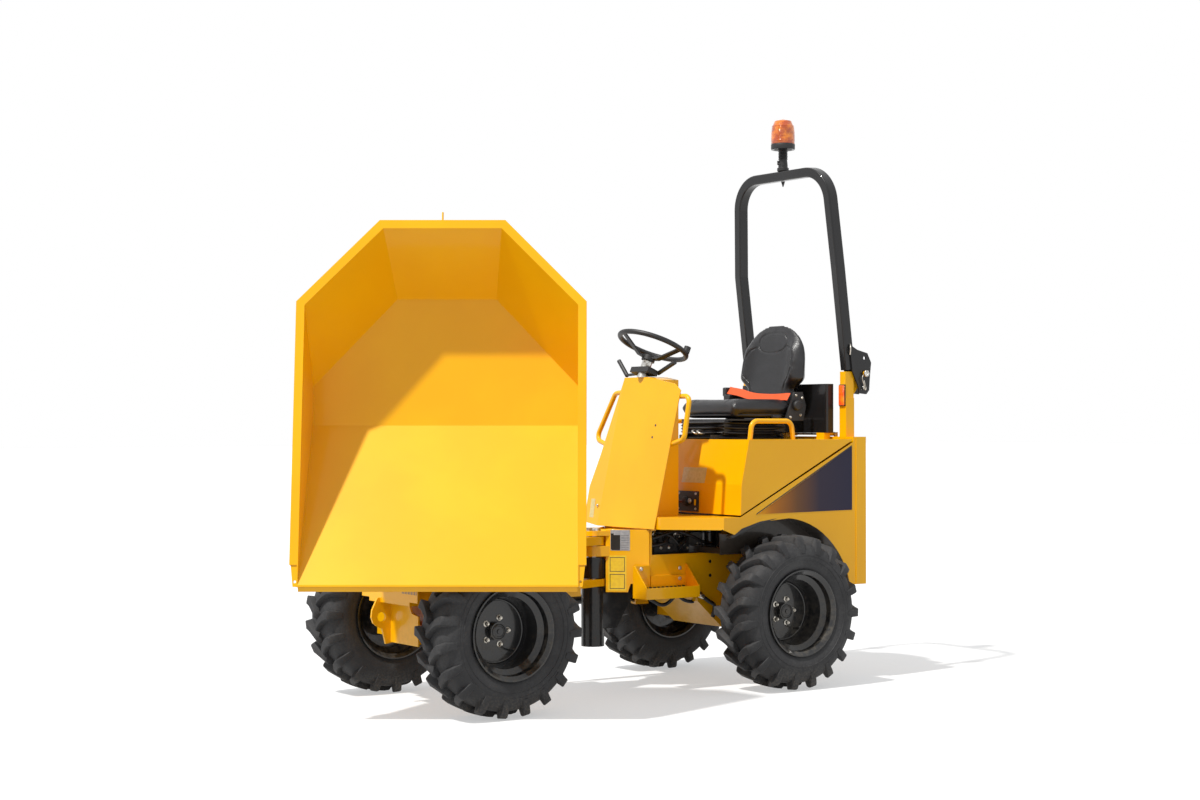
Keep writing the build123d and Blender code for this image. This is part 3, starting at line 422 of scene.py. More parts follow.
# %% Give each node its finish
FINISH = {"rim_": RIM_BLACK, "tyre_": TYRE, "wheel_motor": CAST, "body_shell": SHELL,
          "rops_hoop": BLACK, "back_box": BLACK, "pivot_knuckle": BLACK, "beacon_base": BLACK,
          "tip_ram_barrel": BLACK, "steer_ram_barrel": BLACK, "beacon_lens": AMBER,
          "seat_base": PLASTIC, "seat_": VINYL, "steering_wheel": PLASTIC,
          "switch_cluster": PLASTIC, "control_plate": PLASTIC, "engine_block": CAST,
          "turntable": CAST, "steering_column": STEEL, "pivot_pin": STEEL, "hood_hinge": STEEL,
          "tip_ram_rod": STEEL, "steer_ram_rod": STEEL}
for name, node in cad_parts.items():
    finish = next((m for start, m in FINISH.items() if name.startswith(start)), YELLOW)
    node.data.materials.clear()
    node.data.materials.append(finish)
print("painted", len(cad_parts), "nodes")

# %% [markdown]
# ## A bench for making pieces
# Small parts are quicker to build in code than by hand: a turned part is a profile spun
# round an axis, a bent tube is a ring carried along a path, and a plate is an outline given
# thickness. One class collects such shapes in a single mesh and then hands the finished
# piece to the body that carries it.

# %% The bench


def facing(point, direction):
    """A place whose local Z points along a direction."""
    z = Vector(direction).normalized()
    x = Vector((0, 0, 1)).cross(z)
    x = x.normalized() if x.length > 1e-6 else Vector((1, 0, 0))
    return Matrix.Translation(point) @ Matrix((x, z.cross(x), z)).transposed().to_4x4()


class Bench:
    """Collects shapes in one mesh. All sizes are in millimetres, all places in metres."""

    def __init__(self):
        self.mesh = bmesh.new()

    def _face(self, ring):
        if len(set(ring)) > 2:
            try:
                self.mesh.faces.new(ring)
            except ValueError:
                pass

    def loft(self, rings, closed=True, cap=True):
        """Joins rings of points, each in metres, into a skin."""
        rows = [[self.mesh.verts.new(p) for p in ring] for ring in rings]
        count = len(rows[0])
        for a, b in zip(rows, rows[1:]):
            for i in range(count if closed else count - 1):
                j = (i + 1) % count
                self._face([a[i], a[j], b[j], b[i]])
        if cap:
            self._face(rows[0][::-1])
            self._face(rows[-1])
        return self

    def turn(self, profile, place, steps=32, cap=True):
        """Spins (radius, height) points round the local Z of a place matrix."""
        rings = []
        for r, h in profile:
            rings.append([place @ Vector((r * MM * math.cos(a), r * MM * math.sin(a), h * MM))
                          for a in (2 * math.pi * i / steps for i in range(steps))])
        return self.loft(rings, cap=cap)

    def tube(self, path, radius, steps=12, cap=True):
        """A round bar or hose along points in metres."""
        rings, side = [], None
        for i, p in enumerate(path):
            ahead = (path[min(i + 1, len(path) - 1)] - path[max(i - 1, 0)]).normalized()
            if side is None:
                side = ahead.orthogonal().normalized()
            side = (side - ahead * side.dot(ahead)).normalized()
            other = ahead.cross(side)
            rings.append([p + (side * math.cos(a) + other * math.sin(a)) * radius * MM
                          for a in (2 * math.pi * k / steps for k in range(steps))])
        return self.loft(rings, cap=cap)

    def plate(self, outline, thickness, place):
        """An outline of local (x, y) points with thickness along local Z."""
        rings = [[place @ Vector((x * MM, y * MM, h * MM)) for x, y in outline]
                 for h in (0, thickness)]
        return self.loft(rings)

    def side_plate(self, outline, y0, y1):
        """(ahead, up) points of the machine, between two values across."""
        return self.loft([[at(x, y, z) for x, z in outline] for y in (y0, y1)])

    def cross_plate(self, outline, x0, x1):
        """(across, up) points of the machine, between two values ahead."""
        return self.loft([[at(x, y, z) for y, z in outline] for x in (x0, x1)])

    def bolt(self, point, direction, size):
        """A hexagon head on its washer, seated on a face."""
        place = facing(point, direction)
        base = size * 0.16
        self.turn([(size * 1.02, -0.5), (size * 1.05, base * 0.8), (size * 0.98, base)], place, 20)
        high = base + size * 0.62
        flat = size * 0.86
        self.turn([(flat, base - 0.3), (flat, high - size * 0.08), (flat * 0.86, high)], place, 6)

    def done(self, name, material, body, slot=None, bevel=0.0, smooth=40.0, ride=True):
        """Turns the collected mesh into a piece of the machine."""
        bmesh.ops.recalc_face_normals(self.mesh, faces=self.mesh.faces[:])
        data = bpy.data.meshes.new(name)
        self.mesh.to_mesh(data)
        self.mesh.free()
        piece = bpy.data.objects.new(name, data)
        bpy.context.scene.collection.objects.link(piece)
        data.materials.append(material)
        if bevel:
            edge = piece.modifiers.new("edge", "BEVEL")
            edge.width, edge.segments, edge.limit_method = bevel * MM, 2, "ANGLE"
            edge.angle_limit = math.radians(35)
        data.shade_smooth()
        data.set_sharp_from_angle(angle=math.radians(smooth))
        if ride:
            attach(piece, body)
        return piece


SIDES = ((1, "left"), (-1, "right"))


def box_outline(a0, a1, b0, b1):
    return [(a0, b0), (a1, b0), (a1, b1), (a0, b1)]


def squarish(angle, power):
    """A point of a unit ring that is the squarer, the lower the power."""
    c, s = math.cos(angle), math.sin(angle)
    return math.copysign(abs(c) ** power, c), math.copysign(abs(s) ** power, s)


def curve(points, steps):
    """A smooth line through points, as a hose would lie."""
    out = []
    full = [points[0] * 2 - points[1]] + list(points) + [points[-1] * 2 - points[-2]]
    for a, b, c, d in zip(full, full[1:], full[2:], full[3:]):
        for i in range(steps):
            t = i / steps
            out.append(0.5 * (2 * b + (c - a) * t + (2 * a - 5 * b + 4 * c - d) * t * t
                              + (3 * b - a - 3 * c + d) * t ** 3))
    return out + [points[-1]]


print("bench ready")

# %% [markdown]
# ## Tyres with a traction tread
# A dumper's tyre has two staggered rows of angled bars that meet in a V at the middle, so
# that mud is thrown outward. The casing is a turned shape; each bar is a short skin carried
# over it, from the middle, back and out to the shoulder, and then down the side wall, where
# it thins to a foot. The bars are swept shapes rather than a bump, because they make the
# tyre's outline. The right-hand wheels are mirrored so that every V points forward on top.

# %% Tyre
CROWN = [(0, 351), (60, 349), (98, 341), (118, 325), (129, 300), (131.5, 272), (129, 250),
         (127.5, 247), (126, 240), (120, 224), (115, 217), (113, 211.8), (108, 206), (96, 203)]
BARS = 19
TREAD_RADIUS = 375
FOOT_SPREAD = 1.35
TREAD_STEPS = 14


def casing_radius(y):
    """How far out the casing lies, y millimetres from the tyre's middle."""
    for (y0, r0), (y1, r1) in zip(CROWN, CROWN[1:]):
        if y0 <= y <= y1:
            return r0 + (r1 - r0) * (y - y0) / (y1 - y0)
    return CROWN[5][1]


def bar_line(share):
    """Middle of a bar: place across, radius of its top, lag round the tyre, half width."""
    if share < 0.68:
        s = share / 0.68
        y = -9 + 118 * s
        lag = 78 * (1 - (1 - s) ** 1.7)
        return y, 380 - 5.5 * s ** 3, lag, 15.5 + 5.5 * s
    s = (share - 0.68) / 0.32
    return 109 + 20.5 * math.sin(s * math.pi / 2), 374.5 - 78 * s ** 1.35, 78 + 5 * s, 21 - 5 * s


def tyre_mesh(bench, centre, side):
    def spot(y, r, angle):
        return centre + Vector((r * MM * math.cos(angle), side * y * MM, r * MM * math.sin(angle)))

    profile = [(-y, r) for y, r in CROWN[:0:-1]] + CROWN
    steps = 96
    rings = [[spot(y, r, 2 * math.pi * i / steps) for y, r in profile] for i in range(steps)]
    bench.loft(rings + rings[:1], closed=False, cap=False)
    for row in (1, -1):
        for k in range(BARS):
            start = 2 * math.pi * (k + (0.5 if row < 0 else 0.0)) / BARS
            rings = []
            for n in range(TREAD_STEPS + 1):
                y, top, lag, half = bar_line(n / TREAD_STEPS)
                root = min(casing_radius(abs(y)) - 4, top - 3)
                top = root + (top - root) * min(1.0, n / 1.5 + 0.35)
                shoulder = max(0.0, (y - 112) / 18)
                foot_y, top_y = y - 9 * shoulder, y + 1.5 * shoulder
                section = [(foot_y, root, -half * FOOT_SPREAD), (top_y, top - 3, -half),
                           (top_y, top, -(half - 3.5)), (top_y, top, half - 3.5),
                           (top_y, top - 3, half), (foot_y, root, half * FOOT_SPREAD)]
                rings.append([spot(row * across, r, start + (lag + aside) / TREAD_RADIUS)
                              for across, r, aside in section])
            bench.loft(rings)
    for y, r in ((131.5, 262), (131, 284)):
        ring = [[spot(y + a, r + b, 2 * math.pi * i / steps) for a, b in
                 ((-2.5, -2.6), (0.9, -1.2), (0.9, 1.2), (-2.5, 2.6))] for i in range(steps)]
        bench.loft(ring + ring[:1], closed=False, cap=False)


CORNERS = {"front_left": 1, "front_right": -1, "rear_left": 1, "rear_right": -1}
for corner, side in CORNERS.items():
    bench = Bench()
    tyre_mesh(bench, middle("tyre_" + corner), side)
    piece = bench.done("tread_" + corner, TYRE, "wheel_" + corner, "tyre", smooth=38)
    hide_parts("tyre_" + corner)
print("tyres:", len(CORNERS), "with", 2 * BARS, "bars each")

# %% [markdown]
# ## Wheel nuts and valve
# Five nuts with dished washers hold each disc, round a plain hub. They are zinc, so they
# glint against the black. A valve stem leans out of a slot near the disc's rim. All of a
# wheel's small parts are one mesh, since they turn together.

# %% Wheel nuts
DISC_OUT = -28
NUTS, NUT_CIRCLE, VALVE_CIRCLE = 5, 61.5, 112
NUT_TURN, VALVE_TURN = 107, 232
NUT_SHAPES = ((20, [(15, 0), (15, 1.5), (11, 3.5), (0.1, 3.6)], False),
              (6, [(10.5, 2), (10.5, 13), (8.5, 15.5)], True),
              (12, [(5.5, 10), (5.5, 20), (4.5, 21)], True))


def on_disc(degrees, radius):
    """The way from a wheel's axis to a spot on its disc."""
    a = math.radians(degrees)
    return Vector((math.cos(a), 0, math.sin(a))) * radius * MM


def wheel_parts(corner, side):
    centre = middle("rim_" + corner)
    out = Vector((0, side, 0))
    face = centre + out * DISC_OUT * MM
    bench = Bench()
    for k in range(NUTS):
        place = facing(face + on_disc(NUT_TURN + 360 / NUTS * k, NUT_CIRCLE), out)
        for steps, profile, cap in NUT_SHAPES:
            bench.turn(profile, place, steps, cap)
    bench.done("nuts_" + corner, ZINC, "wheel_" + corner, "bright_steel", bevel=0.5)
    bench = Bench()
    place = facing(face, out)
    bench.turn([(33, 24), (34, 28), (30, 31), (24, 31.5), (22, 29), (12, 29), (11, 33), (0.1, 33)],
               place, 40, cap=False)
    bench.turn([(135, -1), (138, 2.0), (142, 2.6), (146, 1.4), (148, -1)], place, 64, cap=False)
    root = face + on_disc(VALVE_TURN, VALVE_CIRCLE)
    bench.tube([root, root + out * 0.03, root + out * 0.052 - on_disc(VALVE_TURN, 12)], 4.5)
    bench.done("hub_" + corner, RIM_BLACK, "wheel_" + corner, "rim_black")


for corner, side in CORNERS.items():
    wheel_parts(corner, side)
print("wheels dressed")

# %% [markdown]
# ## Films on the flanks
# The big decal on each flank is one printed film: a long wedge that is deep blue at the
# rear and fades forward into the body's yellow. It is a plate a third of a millimetre
# thick with the outline that was cut, laid on the panel. Its colour is the shader's work.

# %% Decals
FLANK = 500.0
WEDGE = [(-458, 1192), (-458, 869), (159, 862)]
for side, word in SIDES:
    bench = Bench()
    bench.side_plate(WEDGE, (FLANK + 0.3) * side, (FLANK + 0.65) * side)
    bench.done("decal_" + word, DECAL, "rear", "yellow_paint")
print("two films laid on the flanks")

# %% [markdown]
# ## Cheek plates beside the articulation
# Where the two halves of the machine meet, a pair of plates slants in from the side rails
# to the pivot. They guard the joint and carry the plates that a driver must see. Each is
# cut from sheet, so an outline with thickness is all that it takes. A small helper gives
# points on the plate's own plane, so that films and rivets lie flat on it.

# %% Cheek plates
CHEEK_REAR, CHEEK_FRONT = Vector((600, 200)), Vector((764, 60))
CHEEK_LONG = (CHEEK_FRONT - CHEEK_REAR).length


def cheek_point(s, z, out=0.0, side=1):
    """s millimetres along the plate from its rear edge, z up, and out from its face."""
    along = (CHEEK_FRONT - CHEEK_REAR).normalized()
    p = CHEEK_REAR + along * s + Vector((-along.y, along.x)) * out
    return at(p.x, p.y * side, z)


def on_cheek(bench, outline, low, high, side=1):
    """Adds an outline of (along, up) points between two heights over the plate's face."""
    return bench.loft([[cheek_point(s, z, h, side) for s, z in outline] for h in (low, high)])


def cheek_plate(name, outline, low, high, side, material, bevel=0.0):
    return on_cheek(Bench(), outline, low, high, side).done(name, material, "rear", "yellow_paint",
                                                            bevel=bevel)


CHEEK = [(0, 786), (0, 520), (92, 520), (106, 479), (CHEEK_LONG, 479), (CHEEK_LONG, 786)]
for side, word in SIDES:
    cheek_plate("cheek_" + word, CHEEK, -8, 0, side, YELLOW, bevel=1.0)
cheek_plate("rating_plate", box_outline(96, 192, 684, 785), 0.2, 1.2, 1, PLATE_GREY, bevel=0.3)
cheek_plate("rating_dark", [(144, 686), (190, 686), (190, 768), (176, 768), (176, 760), (144, 760)],
            1.25, 1.35, 1, BLACK_PRINT_AND_SHADE)
bench = Bench()
for k in range(9):
    z = 690 + 8.4 * k
    on_cheek(bench, box_outline(101, 140, z, z + 1.6), 1.25, 1.33)
bench.done("rating_lines", BLACK_PRINT_AND_SHADE, "rear", "yellow_paint")
bench = Bench()
for s, z in ((99, 687), (189, 687), (99, 782), (189, 782)):
    place = facing(cheek_point(s, z, 1.2), cheek_point(s, z, 10) - cheek_point(s, z))
    bench.turn([(2.6, 0), (2.3, 1.0), (1.2, 1.6), (0.1, 1.7)], place, 12, cap=False)
bench.done("rating_rivets", ZINC, "rear", "bright_steel")
CHEEK_LABEL = [(115, 487), (201, 487), (203, 490), (203, 657), (201, 660), (115, 660), (113, 657),
               (113, 490)]
cheek_plate("cheek_label", CHEEK_LABEL, 0.2, 0.5, 1, LABEL)
bench = Bench()
for z0, z1 in ((496, 568), (580, 651)):
    for line in ((121, 195, z0, z0 + 3), (121, 195, z1 - 3, z1), (121, 124, z0, z1), (192, 195, z0, z1)):
        on_cheek(bench, box_outline(*line), 0.52, 0.6)
bench.done("cheek_label_frame", BLACK_PRINT_AND_SHADE, "rear", "yellow_paint")
print("cheek plates", round(CHEEK_LONG), "mm long")

# %% [markdown]
# ## Hoses and fittings
# Oil runs to the rams and wheel motors in black hoses with bright crimped ends. A hose is
# a smooth line through a few points with a round section, and an end is a turned ferrule
# with a hexagon. The same helper serves the steering and the engine bay.

# %% A hose with its ends
FITTING = ((20, [(1.1, 4), (1.35, 6), (1.35, 24), (1.2, 27)]),
           (6, [(1.5, -12), (1.6, -10), (1.6, 2), (1.5, 4)]),
           (14, [(0.8, -22), (0.8, -11)]))


def hose(name, points, radius, ends=(True, True)):
    """A hose of the rear half, with a fitting at the ends that show."""
    line = curve([at(*p) for p in points], 10)
    bench = Bench()
    bench.tube(line, radius, 14)
    bench.done(name, HOSE, "rear", "black_plastic", smooth=60)
    if any(ends):
        bench = Bench()
        for used, tip, inner in ((ends[0], line[0], line[4]), (ends[1], line[-1], line[-5])):
            for steps, profile in FITTING if used else ():
                bench.turn([(radius * r, h) for r, h in profile], facing(tip, inner - tip), steps)
        bench.done(name + "_ends", ZINC, "rear", "bright_steel", smooth=30)


hose("steer_hose_outer", [(303, 215, 456), (255, 222, 425), (214, 224, 395), (215, 212, 340)], 10,
     (True, False))
hose("drive_hose_loop", [(420, 176, 498), (423, 172, 455), (455, 155, 416), (495, 150, 410),
                         (540, 135, 436), (565, 112, 462)], 9)
hose("drive_hose_short", [(500, 168, 498), (520, 160, 470), (560, 140, 470), (580, 120, 497)], 8)
hose("steer_hose_inner", [(380, 120, 470), (350, 140, 430), (300, 150, 416), (250, 150, 430)], 9)
print("hoses under the step")

# %% [markdown]
# ## What shows in the engine bay
# Through the gap over the side rail one sees a dark bay with a filter, a valve block and
# hoses that cross in front of the engine. Only those that the gap shows are made. They
# stand on a dark tray between the rails, and the engine's block is already there.

# %% Engine bay
TRAY, TRAY_SHEET = 662.4, 3
GRIP_CIRCLE = 38
bench = Bench()
bench.plate(box_outline(150, 590, -188, 188), TRAY_SHEET, Matrix.Translation(at(0, 0, TRAY)))
bench.done("bay_tray", BLACK, "rear", "black_paint", bevel=0.5)
bench = Bench()
place = Matrix.Translation(at(160, 118, 694))
bench.turn([(34, 0), (40, 3), (40, 62), (38, 64), (40, 66), (40, 74), (36, 78), (20, 79), (18, 88)],
           place, 40)
for k in range(12):
    a = math.radians(30 * k)
    grip = Matrix.Translation((GRIP_CIRCLE * MM * math.cos(a), GRIP_CIRCLE * MM * math.sin(a), 0))
    bench.turn([(3, 64), (3, 78)], place @ grip, 8)
bench.done("oil_filter", BLACK, "rear", "black_paint", smooth=35)
bench = Bench()
on_tray = Matrix.Translation(at(0, 0, TRAY + TRAY_SHEET + 0.2))
bench.plate(box_outline(300, 372, 60, 128), 66, on_tray)
bench.plate(box_outline(400, 520, 70, 132), 46, on_tray)
for x in (318, 354):
    bench.turn([(13, 0), (13, 20), (9, 24)], Matrix.Translation(at(x, 94, 731)), 6)
for x in (425, 462, 498):
    bench.turn([(17, 0), (17, 32), (13, 36)], Matrix.Translation(at(x, 101, 711)), 24)
bench.done("valve_block", CAST, "rear", "cast_grey", bevel=2.0)
bench = Bench()
for x, y, z, size in ((336, 129, 706, 9), (310, 129, 684, 7), (362, 129, 684, 7), (430, 133, 690, 8),
                      (480, 133, 690, 8), (262, 150, 706, 7)):
    bench.bolt(at(x, y, z), (0, 1, 0.1), size)
bench.done("valve_plugs", ZINC, "rear", "bright_steel")
BAY_HOSES = [
    (9, True, [(318, 94, 752), (330, 120, 772), (420, 150, 768), (520, 140, 742), (584, 90, 720)]),
    (8, True, [(354, 94, 752), (360, 132, 764), (300, 158, 742), (240, 160, 716), (168, 158, 700)]),
    (9, True, [(425, 101, 752), (440, 140, 756), (480, 160, 716), (560, 150, 700), (586, 120, 690)]),
    (7, True, [(498, 101, 752), (500, 130, 766), (440, 158, 748), (390, 164, 702), (352, 160, 676)]),
    (10, False, [(152, 60, 760), (220, 90, 768), (290, 120, 764), (340, 150, 730), (400, 168, 690)])]
for number, (radius, fitted, points) in enumerate(BAY_HOSES, 1):
    hose(f"bay_hose_{number}", points, radius, (fitted, False))
print("bay dressed")

# %% [markdown]
# ## Bolts, holes and the step's grip
# Bolts hold the step and the panels; a few holes are left free. Each bolt is a hexagon with a chamfered top
# on a washer. A hole that is only seen from outside is a short dark ring round a shallow black dish: painted
# shade for the hole's depth. The step's tread has a row of punched teeth against slipping.

# %% Rail, step and console hardware
CONSOLE_FOOT, CONSOLE_LEAN = (614.2, 790), 0.14667
RAIL_FACE, STEP_TOP, STEP_TREAD = 200, 495.5, 460


def console_x(z):
    """How far ahead the console's sheet lies at a height."""
    return CONSOLE_FOOT[0] - CONSOLE_LEAN * (z - CONSOLE_FOOT[1])


bench = Bench()
bench.side_plate(box_outline(600, 697, 500, 612), RAIL_FACE + 0.2, RAIL_FACE + 6)
bench.done("step_flange", YELLOW, "rear", "yellow_paint", bevel=1)
bench = Bench()
for x, y, z in ((655, 206.2, 596), (418, 206.4, 592), (418, 206.4, 540)):
    bench.bolt(at(x, y, z), (0, 1, 0), 9.5)
bench.bolt(at(console_x(892) + 1, -246, 892), (1, 0, CONSOLE_LEAN), 7)
bench.done("frame_bolts", ZINC, "rear", "bright_steel", bevel=0.4)


# A hole's depth is painted shade: a black ring and dish laid on the face.
def hole_shade_discs(name, spots, direction, radius):
    bench = Bench()
    for spot in spots:
        place = facing(spot, direction)
        bench.turn([(radius * 1.25, 0.05), (radius * 1.2, 0.5), (radius, 0.5)], place, 20, cap=False)
        bench.turn([(radius, 0.45), (radius * 0.6, 0.25), (0.1, 0.2)], place, 20, cap=False)
    bench.done(name, BLACK_PRINT_AND_SHADE, "rear", "yellow_paint")


hole_shade_discs("rail_holes", [at(223, RAIL_FACE + 0.1, z) for z in (617, 547)], (0, 1, 0), 7)
holes = [at(console_x(z), y, z) for y, z in ((169, 1299), (153, 1240))]
hole_shade_discs("console_holes", holes, (1, 0, CONSOLE_LEAN), 5)
bench = Bench()
outline = [(694, 0), (386, 0)]
for k in range(12):
    x = 390 + 25.5 * k
    outline += [(x, 2), (x + 4, 11), (x + 15, 11), (x + 19, 2)]
bench.side_plate([(x, STEP_TOP + z) for x, z in outline], 210, 216)
bench.done("step_teeth", BLACK, "rear", "black_paint")
bench = Bench()
for k in range(12):
    for row in range(3):
        place = Matrix.Translation(at(400 + 25 * k, 236 + 28 * row, STEP_TREAD))
        bench.turn([(8, -0.2), (6.5, 2.6), (5, 3), (4.4, 2.4), (4.2, 0.3)], place, 14, cap=False)
bench.done("step_punching", YELLOW, "rear", "yellow_paint")
print("step and rail dressed")

# %% [markdown]
# ## The battery switch and the labels on the hood
# Low on the hood's front a black plate carries the battery switch: four screws, a bright
# boss and a red key that sticks out to one side. The pale label above it stays blank, as
# the one on the console does.

# %% Switch plate and blank labels
PLATE_OUT = 10.2


def hood_face(y, z, out=PLATE_OUT):
    """A point over the low part of the hood's front, out from its sheet."""
    return at(262 + 0.04 * (1008 - z) + out, y, z)


def on_hood(y, z):
    return facing(hood_face(y, z), (1, 0, -0.04))


bench = Bench()
for y, z in ((13, 879), (152, 879), (13, 955), (152, 955)):
    bench.turn([(7, 0), (6.5, 2.2), (3, 3.2), (1.6, 2.0), (0.1, 2.0)], on_hood(y, z), 20, cap=False)
bench.turn([(13, 0), (13, 5), (10, 8), (5, 8), (4, 6), (0.1, 6)], on_hood(104, 918), 28, cap=False)
bench.done("switch_screws", STEEL, "hood", "bright_steel")
bench = Bench()
bench.turn([(24, 0), (24, 8), (21, 12), (12, 13), (11, 22), (0.1, 23)], on_hood(70, 916), 36, cap=False)
bench.done("switch_body", PLASTIC, "hood", "black_plastic", smooth=30)
KEY = casting("switch_key", rgb("6E2A1C"), rgb("4E1D14"), 0.0, 0.45, 300.0, 0.0002)
bench = Bench()
bench.tube(curve([hood_face(70, 916, 30), hood_face(30, 914, 36), hood_face(-22, 913, 34)], 6), 6.5, 12)
bench.turn([(9, -9), (12, -4), (12, 6), (8, 10)], facing(hood_face(-26, 913, 34), (0, 1, 0)), 20)
bench.done("switch_key", KEY, "hood", "black_plastic")


CARD_CORNERS = [(-1, -0.96), (-0.97, -1), (0.97, -1), (1, -0.96), (1, 0.96), (0.97, 1), (-0.97, 1),
                (-1, 0.96)]
CARD_THICK = 0.3


def face_card(name, centre, across, up, wide, high, material, body):
    """A blank label with clipped corners, flat on a face that two directions span."""
    across, up = Vector(across).normalized(), Vector(up).normalized()
    out = across.cross(up).normalized()
    bench = Bench()
    bench.loft([[centre + (across * a * wide / 2 + up * b * high / 2 + out * h) * MM
                 for a, b in CARD_CORNERS] for h in (CARD_THICK, 2 * CARD_THICK)])
    bench.done(name, material, body, "yellow_paint")


CARD = film("label_pale", rgb("D6C684"), rgb("C8B774"), 0.4)
face_card("hood_label", at(253.3, 110, 1048), (0, 1, 0), (-0.218, 0, 1), 190, 78, CARD, "hood")
face_card("switch_mark", hood_face(146, 912), (0, 1, 0), (-0.04, 0, 1), 14, 30, LABEL, "hood")
face_card("console_mark", at(593.5, -300, 876), (0.1045, 0.9945, 0), (-CONSOLE_LEAN, 0, 1), 44, 96, CARD,
          "rear")
print("labels stay blank")

# %% [markdown]
# ## Rubber edges and the nose
# A rubber lip softens the front of each rear arch. A black strip in the shut line round the lifting hood is
# painted shade that darkens and widens the gap; it stays on the body when the hood goes up. The nose plate
# has two rows of slots, through which mud washes out; each is a thin black strip on the plate, painted shade
# for the opening.

# %% Lips, shut-line shade and painted slots
NOSE = 1940
SLOT_WIDE, SLOT_PITCH = 6, 14
LIP = [(336, 760), (322, 747), (270, 768), (180, 801), (95, 826), (40, 839), (147, 826), (260, 795),
       (304, 767)]
# Painted shade: a black strip along the hood's shut line widens its dark gap.
SHUT_LINE_SHADE = [(166, 867), (172, 859), (-452, 1189), (-458, 1198)]
EDGES = (("arch_lip_", LIP, -38, 4, 2), ("hood_seal_", SHUT_LINE_SHADE, 0.2, 1.4, 0))
for side, word in SIDES:
    for name, outline, low, high, bevel in EDGES:
        bench = Bench()
        bench.side_plate(outline, (FLANK + low) * side, (FLANK + high) * side)
        bench.done(name + word, PLASTIC, "rear", "black_plastic", bevel=bevel)
bench = Bench()
# Black strips on the nose: painted shade for the slots' openings.
for y0, count, z0, z1 in ((-135, 9, 535, 556), (121, 10, 534, 570)):
    for k in range(count):
        y = y0 + SLOT_PITCH * k
        bench.cross_plate(box_outline(y, y + SLOT_WIDE, z0, z1), NOSE + 0.2, NOSE + 0.6)
bench.done("nose_slots", BLACK_PRINT_AND_SHADE, "front", "yellow_paint")
print("lips, seals and slots fitted")

# %% [markdown]
# ## Roll bar pins and the beacon's stem
# The folding roll bar has a hinge pin and a lock pin at each side, with a bright spring
# clip and a loop of wire. The beacon stands on a ribbed rubber stem with a wing
# nut, and its lens has a ring of ribs; the rings are turned profiles.

# %% Roll bar details
HOOP_FACE = 426.4
CLIP = [(-592, 1558), (-586, 1540), (-596, 1512), (-606, 1482), (-612, 1490), (-606, 1506), (-598, 1530)]
WIRE = [(-520, 419, 1714), (-513, 430, 1700), (-511, 431, 1680), (-514, 424, 1662)]
bench = Bench()
clips = Bench()
for side in (1, -1):
    y = HOOP_FACE * side
    out = (0, side, 0)
    bench.turn([(16, 0), (18, 2), (18, 9), (14, 12), (6, 13), (5, 10), (0.1, 10)],
               facing(at(-614, y + 8 * side, 1566), out), 6, cap=False)
    bench.turn([(11, 0), (11, 7), (8, 9), (0.1, 9)], facing(at(-607, y, 1493), out), 24, cap=False)
    clips.tube(curve([at(x, y + 12 * side, z) for x, z in CLIP], 8), 2.2, 10)
    clips.tube(curve([at(x, y * side, z) for x, y, z in WIRE], 8), 3.5, 10)
bench.done("roll_bar_pins", STEEL, "roll_bar", "bright_steel", bevel=0.6)
clips.done("roll_bar_clips", ZINC, "roll_bar", "bright_steel", smooth=60)
axis = middle("beacon_base")
axis.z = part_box("beacon_base")[0].z
bench = Bench()
profile = [(27, 0.5), (31, 3), (31, 18), (25, 22), (25, 34)]
for k in range(6):
    z = 62 + 8 * k
    profile += [(22, z), (25, z + 2.5), (25, z + 4.5), (22, z + 7)]
profile += [(26, 113), (48, 113.5)]
bench.turn(profile, Matrix.Translation(axis), 32, cap=False)
bench.turn([(62.5, 118), (63.5, 122), (63.5, 141), (62.3, 144)], Matrix.Translation(axis), 40, cap=False)
wing = axis + Vector((0.012, 0.02, 0.030))
wing_end = wing + Vector((0.016, -0.028, 0.012))
bench.tube([wing, wing_end], 4, 10)
bench.tube([wing_end - Vector((0, 0, 0.008)), wing_end + Vector((0, 0, 0.014))], 4, 10)
bench.turn([(14, -53), (3, -81), (0.1, -81)], Matrix.Translation(axis), 4, cap=False)
bench.done("beacon_stem", PLASTIC, "roll_bar", "black_plastic", smooth=30)
low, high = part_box("beacon_lens")
bench = Bench()
rows = [(62, 4)]
for k in range(14):
    z = 14 + 6 * k
    r = 62.4 - 0.02 * z if z < 34 else 62.0 - 0.0035 * (z - 30) ** 1.75
    rows += [(r + 0.2, z), (r + 1.6, z + 2), (r + 1.4, z + 3.4), (r - 0.2, z + 5.6)]
bench.turn(rows, Matrix.Translation((axis.x, axis.y, low.z)), 48, cap=False)
bench.done("beacon_ribs", AMBER, "roll_bar", "amber_lens", smooth=50)
print("beacon stands", round(high.z, 3), "m high")

# %% [markdown]
# ## Side reflectors
# An upright amber reflector sits on the front of each lower post, in a dark frame.

# %% Reflectors
POST_FRONT, RIM = -491.8, 4
for side, word in SIDES:
    y0, y1 = sorted((372 * side, 412 * side))
    bench = Bench()
    bench.cross_plate(box_outline(y0 - RIM, y1 + RIM, 1401 - RIM, 1504 + RIM), POST_FRONT, POST_FRONT + 4)
    bench.done("reflector_frame_" + word, PLASTIC, "rear", "black_plastic", bevel=1)
    bench = Bench()
    bench.cross_plate(box_outline(y0, y1, 1401, 1504), POST_FRONT + 3.8, POST_FRONT + 10.8)
    bench.done("reflector_" + word, REFLECTOR, "rear", "amber_lens", bevel=2)
print("reflectors fitted")

# %% [markdown]
# ## The seat
# A machine seat is moulded foam in a tight vinyl skin. The backrest leans back a little:
# it has a wide bolster down each side, a plain head with a sewn oval and seams that run
# from the oval down to the waist. The cushion is dished, with a rolled front edge. Both
# start as closed forms lofted from a few curves, a little smaller than the finished pad.
# Then cloth under pressure swells them as foam fills its cover, and the seams are drawn
# in afterwards, because a remesh would wipe them out.

